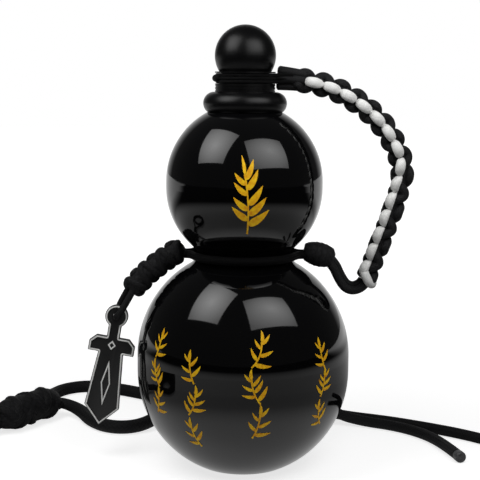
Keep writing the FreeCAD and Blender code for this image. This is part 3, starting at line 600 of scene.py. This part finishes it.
# %% Handle tail
TAIL_CORD = 4.6
TAIL_ASIDE = 1.8
TAIL_SPREAD = 1.1
TAIL_ROUTE = [
    (67.6, 0, 105.0), (65.8, 0, 101.0), (63.0, 0, 98.4), (59.2, 0, 97.4), (55.8, 0, 98.8),
    (53.4, 0, 102.0), (51.4, 0, 105.8), (49.4, 0, 110.2), (46.0, 0, 113.8),
]
tail_line = evenly(route_line(TAIL_ROUTE), 1.0 * MM)
tails = []
for side in (-1, 1):
    path = [point + (Vector((0, TAIL_ASIDE, 0)) + Vector((0, 1, 0)).cross(way) * TAIL_SPREAD) * side * MM
            for point, way in zip(tail_line, tangents(tail_line))]
    tails.append(tube("handle_tail_strand", path, TAIL_CORD / 2 * MM, black_sheath))
handle_tail = joined("handle_tail_strands", tails)
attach(handle_tail, "bottle")
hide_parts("handle_tail")
print("band and tail made, %.1f mm of tail" % (line_lengths(tail_line)[-1] / MM))

# %% [markdown]
# ## Cap loop and waist loop
#
# Three turns of thin cord fill the cap's groove and lead into the handle, and at the left their end is
# tucked in, which makes a small lump. A thicker pair runs round the waist, and at both sides its strands
# turn out and lie side by side. Each route is an arc that leaves its ring along X at both ends.

# %% Rings of cord
POINTS_PER_RING = 20
RING_TURN = 2.5
RING_LEAVE = 2.0


def ring_strand(radius, half_gap, reach, height, sweep):
    """Route of a strand round the axis, with straight ends along X; the sweep starts from the X axis."""
    turn = math.copysign(math.asin((half_gap + RING_TURN) / radius), sweep)
    first, last = turn, sweep - turn
    ends = []
    for edge, angle in ((0, first), (sweep, last)):
        side = math.copysign(1, math.cos(edge))
        aside = math.copysign(half_gap, math.sin(angle))
        ends.append([(side * (radius + RING_LEAVE), aside, height), (side * reach, aside, height)])
    count = max(6, round(POINTS_PER_RING * abs(last - first) / (2 * math.pi)))
    angles = [first + (last - first) * number / count for number in range(count + 1)]
    ring = [(radius * math.cos(angle), radius * math.sin(angle), height) for angle in angles]
    return ends[0][::-1] + ring + ends[1]


# %% Cap loop
LOOP_RADIUS = 15.2
LOOP_HALF_GAP = 2.6
LOOP_REACH = 25.5
LOOP_CORD = 1.96
LOOP_PITCH = 1.75
TUCK_RADIUS, TUCK_CORD = 15.7, 4.0
TUCK_FROM, TUCK_TO = math.radians(158), math.radians(212)
TUCK_POINTS = 9
groove_z = box_middle("cap_tether_loop").z / MM
turns = []
# The turns and their tucked end take the darker sheath: painted shade for the groove they lie in.
for level in (-1, 0, 1):
    route = ring_strand(LOOP_RADIUS, LOOP_HALF_GAP, LOOP_REACH, groove_z + level * LOOP_PITCH, -2 * math.pi)
    turns.append(tube("loop_turn", evenly(route_line(route), 0.8 * MM), LOOP_CORD / 2 * MM, painted_shade_sheath))
tuck_route = []
for number in range(TUCK_POINTS):
    angle = TUCK_FROM + (TUCK_TO - TUCK_FROM) * number / (TUCK_POINTS - 1)
    tuck_route.append((TUCK_RADIUS * math.cos(angle), TUCK_RADIUS * math.sin(angle), groove_z))
tuck_line = evenly(route_line(tuck_route), 0.4 * MM)
turns.append(tube("tucked_end", tuck_line, rounded(len(tuck_line), TUCK_CORD / 2 * MM, 8), painted_shade_sheath))
cap_loop = joined("cap_loop_cord", turns)
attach(cap_loop, "tether")
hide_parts("cap_tether_loop")

# %% Waist loop
WAIST_CORD = 4.4
WAIST_RADIUS = 28.58
WAIST_HALF_GAP = 2.5
WAIST_REACH = 37.5
waist_z = box_middle("waist_loop").z / MM
strands = []
# The waist strands take the darker sheath: painted shade for the shade under the upper bulb.
for sweep in (-math.pi, math.pi):
    route = ring_strand(WAIST_RADIUS, WAIST_HALF_GAP, WAIST_REACH, waist_z, sweep)
    waist_line = evenly(route_line(route), 1.2 * MM)
    strands.append(tube("waist_strand", waist_line, WAIST_CORD / 2 * MM, painted_shade_sheath))
waist_loop = joined("waist_loop_cords", strands)
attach(waist_loop, "bottle")
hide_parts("waist_loop")
print("loops at %.1f and %.1f mm" % (groove_z, waist_z))

# %% [markdown]
# ## Wrapped knots
#
# The knots at the waist are wrapped: a cord winds round the strands in close turns and is pulled tight,
# which gives a small barrel. What goes on inside never shows, so a helix makes the wraps, its radius
# swelling to the middle, and a core fills the inside so that nothing shows through. The slider on the
# strap is woven like the handle, only thicker.

# %% Helper for wrapped knots
POINTS_PER_WRAP = 24
CORE_RINGS = 12
CORE_SHORTER, CORE_INSIDE, CORE_END = 0.4, 0.06, 0.6


def wrapped_knot(name, centre, way, length, radius, end_radius, cord, turns):
    """Close turns of cord about an axis, all in metres."""
    aside = way.orthogonal().normalized()
    other = way.cross(aside)
    wraps = []
    for number in range(turns * POINTS_PER_WRAP + 1):
        share = number / (turns * POINTS_PER_WRAP)
        angle = 2 * math.pi * turns * share
        bulge = radius - (radius - end_radius) * (2 * share - 1) ** 2 - cord / 2
        wraps.append(centre + way * ((share - 0.5) * (length - cord))
                     + (aside * math.cos(angle) + other * math.sin(angle)) * bulge)
    core, core_radii = [], []
    for number in range(CORE_RINGS + 1):
        share = number / CORE_RINGS
        core.append(centre + way * ((share - 0.5) * (length - cord * CORE_SHORTER)))
        core_radii.append(radius - (radius - end_radius) * (2 * share - 1) ** 2 - cord * CORE_INSIDE)
    core_radii[0] = core_radii[-1] = end_radius * CORE_END
    return joined(name, [tube(name, wraps, rounded(len(wraps), cord / 2, 4), black_sheath),
                         tube(name + "_core", core, core_radii, black_sheath, sides=24)])


# %% Knots at the waist
KNOT_TILT = math.radians(14)
knots = (("waist_knot", (math.cos(KNOT_TILT), 0, -math.sin(KNOT_TILT)), -2.2, 18.5, 6.8, 4.6, 3.2, 6),
         ("strap_anchor_knot", (1, 0, 0), 0.0, 30.0, 7.0, 6.2, 5.4, 6))
for node, way, shift, length, radius, end_radius, cord, turns in knots:
    centre = box_middle(node) + Vector(way) * shift * MM
    knot = wrapped_knot(node + "_wraps", centre, Vector(way), length * MM, radius * MM,
                        end_radius * MM, cord * MM, turns)
    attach(knot, "bottle")
    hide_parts(node)
    print("%s: %d turns" % (node, turns))

# %% Strap slider
SLIDER_FROM, SLIDER_TO = -2.0, 48.0
SLIDER_SHIFT = Vector((1.6, -2.6, 1.4))
slider_from = (Vector(FAR_TO_KNOT[-1]) + Vector(NEAR_TO_KNOT[-1])) / 2
slider_to = (Vector(FAR_TO_COIL[0]) + Vector(NEAR_TO_COIL[0])) / 2
slider_way = (slider_to - slider_from).normalized()
slider_ends = [slider_from + SLIDER_SHIFT + slider_way * along
               for along in (SLIDER_FROM, (SLIDER_FROM + SLIDER_TO) / 2, SLIDER_TO)]
slider_line = evenly(route_line(slider_ends), 0.8 * MM)
slider = weave("strap_slider", slider_line, woven_frames(slider_line, Vector((0, 0, -1))), pitch=12.5 * MM,
               reach=7.3 * MM, depth=7.0 * MM, cord=6.4 * MM, core=9.2 * MM, start=5.0 * MM, taper=12 * MM)
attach(slider, "adjuster")
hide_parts("strap_slide_knot")
print("slider woven over %.0f mm" % (SLIDER_TO - SLIDER_FROM))

# %% [markdown]
# ## Lanyard and charm
#
# At the left a short knotted lanyard hangs from the waist, and a thin cord at its end carries a flat
# moulded charm. The lanyard is the same weave as the handle, with a short pitch and no white stitch. The
# charm is a copy of its CAD mesh, merged first, and a bevel rounds its edges as a mould does.

# %% Lanyard
LANYARD_ROUTE = [
    (-33.0, -2.0, 119.6), (-37.4, -1.0, 116.9), (-43.0, 0, 112.8), (-50.2, 0, 107.4), (-56.8, 0, 101.0),
    (-61.6, 0, 95.4),
]
lanyard_line = evenly(route_line(LANYARD_ROUTE), 0.6 * MM)
lanyard_length = line_lengths(lanyard_line)[-1]
lanyard = weave("lanyard", lanyard_line, woven_frames(lanyard_line, Vector((0, 1, 0))), pitch=5.9 * MM,
                reach=4.8 * MM, depth=3.6 * MM, cord=4.6 * MM, core=5.2 * MM, taper=4 * MM)
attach(lanyard, "bottle")
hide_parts("charm_lanyard")
print("lanyard: %.1f mm" % (lanyard_length / MM))

# %% Charm cord
CHARM_CORD_ROUTE = [
    (-59.6, -2.0, 96.8), (-61.8, -3.0, 92.8), (-66.6, -4.8, 84.4), (-69.7, -4.2, 80.6), (-69.7, 4.2, 80.6),
    (-69.0, 4.8, 85.4), (-65.0, 3.0, 92.8), (-62.8, 2.0, 96.6),
]
CHARM_CORD_RADIUS = 1.85
charm_line = evenly(route_line(CHARM_CORD_ROUTE), 0.8 * MM)
charm_cord = tube("charm_cord_loop", charm_line, CHARM_CORD_RADIUS * MM, black_sheath)
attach(charm_cord, "bottle")
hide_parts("charm_cord")

# %% Helper for moulded copies
MERGE_WITHIN = 1e-6
FLAT_ANGLE, SHARP_ANGLE, SMOOTH_ANGLE = (math.radians(angle) for angle in (0.5, 40, 35))


def moulded_copy(node, name, edge, segments=3):
    """A merged copy of a CAD node's mesh with its sharp edges rounded."""
    piece = bpy.data.objects.new(name, bpy.data.objects[node].data.copy())
    piece.data.name = name
    bpy.context.scene.collection.objects.link(piece)
    bpy.ops.object.select_all(action="DESELECT")
    piece.select_set(True)
    bpy.context.view_layer.objects.active = piece
    bpy.ops.object.mode_set(mode="EDIT")
    bpy.ops.mesh.select_all(action="SELECT")
    bpy.ops.mesh.remove_doubles(threshold=MERGE_WITHIN)
    bpy.ops.mesh.customdata_custom_splitnormals_clear()
    bpy.ops.mesh.dissolve_limited(angle_limit=FLAT_ANGLE)
    bpy.ops.object.mode_set(mode="OBJECT")
    rounding = piece.modifiers.new("rounding", "BEVEL")
    rounding.width = edge * MM
    rounding.segments = segments
    rounding.limit_method = "ANGLE"
    rounding.angle_limit = SHARP_ANGLE
    bpy.ops.object.modifier_apply(modifier=rounding.name)
    bpy.ops.object.shade_smooth_by_angle(angle=SMOOTH_ANGLE)
    piece.data.materials.clear()
    return piece


# %% Charm finishes
def grained(name, scale, dark, light, depth, sockets, detail=3, light_from=0.7):
    """A finish whose colour and fine relief both come from one noise; depth 0 leaves it smooth."""
    material, tree, shader = new_material(name, sockets)
    grain = noise(tree, scale, detail)
    colour(tree, shader, grain, (0.3, dark), (light_from, light))
    if depth:
        bump(tree, shader, grain, depth)
    return material


charm_rubber = grained("charm_rubber", 1400, (0.004, 0.004, 0.0045), (0.009, 0.009, 0.0095), 0.00004,
                       {"Roughness": 0.45, "Specular IOR Level": 0.35})
charm_paint = grained("charm_paint", 900, (0.86, 0.86, 0.84), (0.97, 0.97, 0.95), 0.00003,
                      {"Roughness": 0.5})
print("charm finishes made")

# %% Charm
charm = moulded_copy("sword_charm", "sword_tag", 0.35)
charm.data.materials.append(charm_rubber)
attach(charm, "charm")
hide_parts("sword_charm")
line = moulded_copy("charm_outline", "tag_outline", 0.1, 2)
line.data.materials.append(charm_paint)
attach(line, "charm")
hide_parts("charm_outline")
print("charm: %d faces, outline: %d faces" % (len(charm.data.polygons), len(line.data.polygons)))

# %% Plain lines on the charm
CHARM_PLACE = Matrix.Translation(Vector((-69.5, 0, 80.9)) * MM) @ Matrix.Rotation(math.radians(9.8), 4, "Y")
CHARM_FACE = 1.4
LINE_WIDTH, LINE_HEIGHT = 0.7, 0.3
diamonds = ((-38.0, 2.6, 13.0), (-16.4, 2.2, 2.6))


def diamond_line(middle, half_width, half_height, face):
    """A flat diamond of painted line on one face of the charm; face is -1 in front, 1 behind."""
    bpy.ops.object.select_all(action="DESELECT")
    bpy.ops.mesh.primitive_circle_add(vertices=4, radius=1, fill_type="NGON", enter_editmode=True,
                                      rotation=(math.pi / 2, 0, 0))
    bpy.ops.object.mode_set(mode="OBJECT")
    piece = bpy.context.object
    piece.scale = (half_width * MM, half_height * MM, 1)
    bpy.ops.object.transform_apply()
    bpy.ops.object.mode_set(mode="EDIT")
    bpy.ops.mesh.inset(thickness=LINE_WIDTH * MM, use_even_offset=True)
    bpy.ops.mesh.delete(type="FACE")
    bpy.ops.mesh.select_all(action="SELECT")
    bpy.ops.mesh.extrude_region_move(TRANSFORM_OT_translate={"value": (0, face * LINE_HEIGHT * MM, 0)})
    bpy.ops.mesh.select_all(action="SELECT")
    bpy.ops.mesh.normals_make_consistent(inside=False)
    bpy.ops.object.mode_set(mode="OBJECT")
    piece.data.transform(CHARM_PLACE @ Matrix.Translation(Vector((0, face * CHARM_FACE, middle)) * MM))
    piece.data.materials.append(charm_paint)
    return piece


charm_lines = joined("tag_lines", [diamond_line(*diamond, face) for diamond in diamonds for face in (-1, 1)])
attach(charm_lines, "charm")
print("charm lines: %d faces" % len(charm_lines.data.polygons))

# %% [markdown]
# ## Tie of the coil
#
# A short strap closes round the put-away coil. It keeps its CAD shape with softened edges and gets a
# coarse loop-pile finish. With it the strap's pieces are complete.

# %% Coil tie
tie_pile = grained("tie_pile", 1800, (0.005, 0.005, 0.006), (0.03, 0.03, 0.032), 0.0004,
                   {"Roughness": 0.9}, detail=4, light_from=0.75)
tie = moulded_copy("coil_tie", "coil_tie_strap", 0.3)
tie.data.materials.append(tie_pile)
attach(tie, "bottle")
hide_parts("coil_tie")
print("coil tie: %d faces" % len(tie.data.polygons))

# %% [markdown]
# ## Lacquer, cap and seal
#
# The flask is polished black lacquer. Its gloss comes from a smooth shader with a clear coat, and a very
# weak long wave keeps the reflections from looking computed. The cap is moulded plastic with a satin
# surface: the same black, but a rougher shader and a fine grain. The strap's ends are melted shut, and
# there the cord is smooth and grey.


# %% Lacquer
def smudges(tree, shader, scale, detail, smooth, rough):
    """Roughness that changes a little from place to place, as handling leaves it."""
    spread = make(tree, "ShaderNodeMapRange",
                  {"Value": noise(tree, scale, detail), "To Min": smooth, "To Max": rough})
    tree.links.new(spread.outputs["Result"], shader.inputs["Roughness"])


lacquer, tree, shader = new_material("lacquer", {"Specular IOR Level": 0.35, "Coat Weight": 0.14,
                                                 "Coat Roughness": 0.04})
colour(tree, shader, noise(tree, 18), (0.3, (0.0012, 0.0012, 0.0014)), (0.7, (0.002, 0.002, 0.0023)))
smudges(tree, shader, 26, 5, 0.035, 0.075)
bump(tree, shader, noise(tree, 35, detail=1), 0.00006, 0.5)

# %% Cap plastic
satin, tree, shader = new_material("satin_plastic", {"Specular IOR Level": 0.2})
colour(tree, shader, noise(tree, 60), (0.3, (0.0012, 0.0012, 0.0014)), (0.7, (0.0022, 0.0022, 0.0024)))
smudges(tree, shader, 90, 4, 0.27, 0.37)
bump(tree, shader, noise(tree, 2200, detail=2), 0.00002)

# %% Insert, seal and sealed ends
insert_plastic = grained("insert_plastic", 1200, (0.62, 0.62, 0.6), (0.74, 0.74, 0.72), 0.00002,
                         {"Roughness": 0.4})
seal_silicone = grained("seal_silicone", 700, (0.7, 0.7, 0.68), (0.8, 0.8, 0.78), 0,
                        {"Roughness": 0.55, "Subsurface Weight": 0.2,
                         "Subsurface Radius": (0.002, 0.002, 0.002)})
sealed_end = grained("sealed_end", 650, (0.03, 0.03, 0.032), (0.11, 0.11, 0.115), 0.00015,
                     {"Roughness": 0.45}, detail=4)

# %% Finishes on the CAD pieces
finishes = {"bottle_body": lacquer, "cap_shell": satin, "cap_knob": satin,
            "cap_thread_insert": insert_plastic, "cap_seal": seal_silicone, "strap_tips": sealed_end}
for node, finish in finishes.items():
    slots = bpy.data.objects[node].material_slots
    for slot in slots:
        slot.material = finish
    print(node, len(slots), "slot")

# %% [markdown]
# ## Gold brushwork
#
# Gold leafy twigs are painted on both bulbs, in upright columns. Each stroke starts as a flat strip in the
# surface's own measures, millimetres round the widest part and millimetres up. Shrinkwrap lays it on the
# lacquer, and Solidify gives it the thickness of a coat of paint. A leaf is broad near its stem and ends in
# a hair, as a loaded brush leaves it when it is pressed down and then lifted. Painted in the material
# instead, the strokes would have no edge of their own to catch the light.

# %% Helpers for brush strokes
BULB_RADIUS = 58.0
BRUSH_CLEAR = 4
STROKE_STEPS = 12
LEAF_BELLY, LEAF_BLUNT, LEAF_HAIR = 0.62, 0.8, 0.03
STEM_WAIST = 0.82
strokes = []


def bulb_point(turn, height):
    """A place just outside the flask; turn is in mm round the widest part, from the front."""
    angle = turn / BULB_RADIUS
    outward = Vector((math.sin(angle), -math.cos(angle), 0))
    return outward * (BULB_RADIUS + BRUSH_CLEAR) * MM + Vector((0, 0, height * MM))


def stroke(start, lean, length, width, bend=0.0, pointed=True):
    """A brush stroke in mm, leaning from straight up and bending as it goes. Gives its middle line."""
    left, right, middle = [], [], []
    turn, height = start
    for step in range(STROKE_STEPS + 1):
        share = step / STROKE_STEPS
        angle = math.radians(lean + bend * (share - 0.5))
        if pointed:
            half = width / 2 * (math.sin(math.pi * share ** LEAF_BELLY) ** LEAF_BLUNT + LEAF_HAIR)
        else:
            half = width / 2 * (STEM_WAIST + (1 - STEM_WAIST) * (2 * share - 1) ** 2)
        left.append((turn - half * math.cos(angle), height + half * math.sin(angle)))
        right.append((turn + half * math.cos(angle), height - half * math.sin(angle)))
        middle.append((turn, height))
        turn += math.sin(angle) * length / STROKE_STEPS
        height += math.cos(angle) * length / STROKE_STEPS
    strokes.append((left, right))
    return middle


# %% Helper for twigs
STEM_WIDTH, TIP_WIDTH = 0.9, 1.6
FIRST_LEAF, LEAF_RANGE = 0.2, 0.68
LEAF_LENGTH, LEAF_OF_STEM, LEAF_SHRINK, LEFT_SMALLER = 2.6, 0.5, 0.24, 0.84
LEAF_WIDTH = 0.24
LEAF_ANGLE, LEAF_CLOSES, LEAF_BEND = 66, 30, 30
TIP_LENGTH, TIP_OF_STEM = 2, 0.26


def twig(start, lean, length, leaves, bend):
    """A thin stem with leaves on alternate sides and one at its tip."""
    stem = stroke(start, lean, length, STEM_WIDTH, bend, pointed=False)
    for number in range(leaves):
        share = FIRST_LEAF + LEAF_RANGE * number / (leaves - 1)
        side = 1 if (number + leaves + (bend > 0)) % 2 else -1
        leaf = LEAF_LENGTH + length * (LEAF_OF_STEM - LEAF_SHRINK * share)
        leaf *= 1.0 if side > 0 else LEFT_SMALLER
        turned = lean + bend * (share - 0.5) + side * (LEAF_ANGLE - LEAF_CLOSES * share)
        stroke(stem[round(share * STROKE_STEPS)], turned, leaf, LEAF_WIDTH * leaf, bend=-side * LEAF_BEND)
    stroke(stem[-1], lean + bend / 2, TIP_LENGTH + length * TIP_OF_STEM, TIP_WIDTH, bend=bend)


# %% Twigs on both bulbs
TWIG_LENGTH = 12.6
TWIG_ASIDE, TWIG_BEND = 0.12, 2.2
columns = (
    (-51, 0.86, ((37, 16), (52, -20), (67, 12))),
    (-27, 1.0, ((22, -16), (40, 20), (57, -12))),
    (7, 1.12, ((29, 14), (48, -18), (67, 22))),
    (46, 0.9, ((32, -20), (48, 14), (63, -10))),
)
for turn, size, places in columns:
    for number, (height, lean) in enumerate(places):
        twig((turn - TWIG_ASIDE * lean, height), lean, TWIG_LENGTH * size, 5 + number % 2, -TWIG_BEND * lean)
twig((2.5, 132), -5, 31, 9, -20)
print("%d strokes" % len(strokes))

# %% Strokes laid on the lacquer
corners, faces = [], []
for left, right in strokes:
    first = len(corners)
    for pair in zip(left, right):
        corners += [bulb_point(*place) for place in pair]
    faces += [(first + 2 * step, first + 2 * step + 1, first + 2 * step + 3, first + 2 * step + 2)
              for step in range(STROKE_STEPS)]
mesh = bpy.data.meshes.new("gold_twigs")
mesh.from_pydata(corners, [], faces)
gold_twigs = bpy.data.objects.new("gold_twigs", mesh)
bpy.context.scene.collection.objects.link(gold_twigs)
bpy.ops.object.select_all(action="DESELECT")
gold_twigs.select_set(True)
bpy.context.view_layer.objects.active = gold_twigs
laying = gold_twigs.modifiers.new("laying", "SHRINKWRAP")
laying.target = bpy.data.objects["bottle_body"]
laying.wrap_method = "PROJECT"
laying.use_negative_direction = True
laying.use_positive_direction = True
laying.offset = 0.08 * MM
bpy.ops.object.modifier_apply(modifier=laying.name)
coat = gold_twigs.modifiers.new("coat", "SOLIDIFY")
coat.thickness = 0.12 * MM
coat.offset = 1
bpy.ops.object.modifier_apply(modifier=coat.name)
bpy.ops.object.shade_smooth_by_angle(angle=math.radians(40))
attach(gold_twigs, "bottle")
gold_paint = grained("gold_paint", 420, (0.78, 0.3, 0.006), (1.0, 0.62, 0.013), 0.00004,
                     {"Roughness": 0.45, "Specular IOR Level": 0.2}, detail=5, light_from=0.62)
gold_twigs.data.materials.append(gold_paint)
print("twigs: %d faces" % len(gold_twigs.data.polygons))

# %% [markdown]
# ## Floor, light and surroundings
#
# The flask is black and glossy, so it shows its surroundings more than its colour. Two soft lights hang
# close above it, at the left and the right of the front. Their places, sizes and tilts were worked out from
# their reflections, which the photograph shows in both bulbs. The studio in front is dim, and behind the
# flask both backdrop and floor are pale, which draws bright rims along its edges. The camera sees a white
# floor with a soft shadow. What the lacquer mirrors of it is set by the place on the floor: bright behind
# and close to the flask, weaker round about, and dark far in front.

# %% Floor
FLOOR_SIDE = 8
WHITENS, WHITE_NEAR, WHITE_MORE = (0.12, 0.55), 0.75, 0.35
DIMS, DIM_GREY = (0.3, 0.6), 0.08
BEHIND, BEHIND_GLOW = (0.15, 0.6), 0.8
APART, APART_GLOW = (0.15, 0.4), 0.45
BESIDE, BESIDE_GLOW = (0.08, 0.15), 0.65


def eased(tree, value, span, low=0.0, high=1.0):
    """A smooth change from low to high while the value crosses the span."""
    return make(tree, "ShaderNodeMapRange",
                {"Value": value, "From Min": span[0], "From Max": span[1], "To Min": low, "To Max": high},
                interpolation_type="SMOOTHSTEP").outputs["Result"]


bpy.ops.object.select_all(action="DESELECT")
bpy.ops.mesh.primitive_plane_add(size=FLOOR_SIDE)
floor = bpy.context.object
floor.name = "floor"
paper, tree, shader = new_material("paper_floor", {"Roughness": 0.85, "Specular IOR Level": 0.1,
                                                   "Emission Color": (1, 1, 1, 1)})
place = make(tree, "ShaderNodeTexCoord").outputs["Object"]
distance = make(tree, "ShaderNodeVectorMath", {0: place}, operation="LENGTH").outputs["Value"]
backward = make(tree, "ShaderNodeSeparateXYZ", {"Vector": place}).outputs["Y"]
far = eased(tree, distance, DIMS)
pale = ramp(tree, noise(tree, 6), (0.3, (0.58, 0.58, 0.58)), (0.7, (0.62, 0.62, 0.62)))
shade = make(tree, "ShaderNodeMix", {"Factor": far, 6: pale, 7: (DIM_GREY, DIM_GREY, DIM_GREY, 1)},
             data_type="RGBA")
tree.links.new(shade.outputs[2], shader.inputs["Base Color"])

# %% What the floor shows to the camera and to the lacquer
behind = eased(tree, backward, BEHIND, high=BEHIND_GLOW)
apart = sums(tree, "MULTIPLY", eased(tree, distance, APART, high=APART_GLOW), sums(tree, "SUBTRACT", 1, far))
beside = eased(tree, distance, BESIDE, low=BESIDE_GLOW, high=0)
bright = sums(tree, "MAXIMUM", behind, sums(tree, "ADD", apart, beside))
rays = make(tree, "ShaderNodeLightPath").outputs
mirrored = sums(tree, "MULTIPLY", rays["Is Glossy Ray"], bright)
seen = sums(tree, "ADD", rays["Is Camera Ray"], mirrored)
white = sums(tree, "MULTIPLY_ADD", eased(tree, distance, WHITENS), WHITE_MORE, WHITE_NEAR)
tree.links.new(sums(tree, "MULTIPLY", seen, white), shader.inputs["Emission Strength"])
floor.data.materials.append(paper)
print("floor: %d nodes" % len(tree.nodes))

# %% Lights
LIGHTS_AIM = Vector((0, 0, 0.12))
LIGHT_FADES, LIGHT_MIDDLE, LIGHT_EDGE = 0.62, 1.3, 0.45


def soft_light(name, turn, rise, distance, width, height, radiance, tilt):
    """A soft rectangle; turn is from the front, towards the right, and tilt is about its own axes."""
    turn, rise = math.radians(turn), math.radians(rise)
    way = Vector((math.sin(turn) * math.cos(rise), -math.cos(turn) * math.cos(rise), math.sin(rise)))
    bpy.ops.object.light_add(type="AREA", location=LIGHTS_AIM + way * distance)
    light = bpy.context.object
    light.name = name
    tilted = Euler([math.radians(angle) for angle in tilt], "ZXY").to_quaternion()
    light.rotation_euler = (way.to_track_quat("Z", "Y") @ tilted).to_euler()
    light.visible_camera = False
    light.data.shape = "RECTANGLE"
    light.data.size, light.data.size_y = width, height
    light.data.energy = radiance * math.pi * width * height
    light.data.use_nodes = True
    tree = light.data.node_tree
    spot = make(tree, "ShaderNodeNewGeometry").outputs["Parametric"]
    aside = make(tree, "ShaderNodeVectorMath", {0: spot, 1: (0.5, 0.5, 0)}, operation="DISTANCE")
    fading = make(tree, "ShaderNodeMapRange", {"Value": aside.outputs["Value"], "From Max": LIGHT_FADES,
                                               "To Min": LIGHT_MIDDLE, "To Max": LIGHT_EDGE})
    tree.links.new(fading.outputs["Result"], tree.nodes["Emission"].inputs["Strength"])
    print("%s: %.1f W" % (name, light.data.energy))


soft_light("soft_left", -58.8, 51.3, 0.34, 0.23, 0.262, 4.8, (0, 0, 13.8))
soft_light("soft_right", 45.6, 47.9, 0.356, 0.328, 0.257, 3.9, (20.8, -23, -15.5))

# %% Surroundings
PALE_FROM, PALE_TO = 0.7, 0.96
STUDIO_DIM, STUDIO_PALE = (0.05, 0.05, 0.05), (0.7, 0.7, 0.7)
world = bpy.data.worlds.new("studio")
world.use_nodes = True
bpy.context.scene.world = world
tree = world.node_tree
sky = tree.nodes["Background"]
way = make(tree, "ShaderNodeTexCoord").outputs["Generated"]
behind = make(tree, "ShaderNodeSeparateXYZ", {"Vector": way}).outputs["Y"]
studio = ramp(tree, behind, (PALE_FROM, STUDIO_DIM), (PALE_TO, STUDIO_PALE))
seen = make(tree, "ShaderNodeLightPath").outputs["Is Camera Ray"]
backdrop = make(tree, "ShaderNodeMix", {"Factor": seen, 6: studio, 7: (1, 1, 1, 1)}, data_type="RGBA")
tree.links.new(backdrop.outputs[2], sky.inputs["Color"])
print("world made")
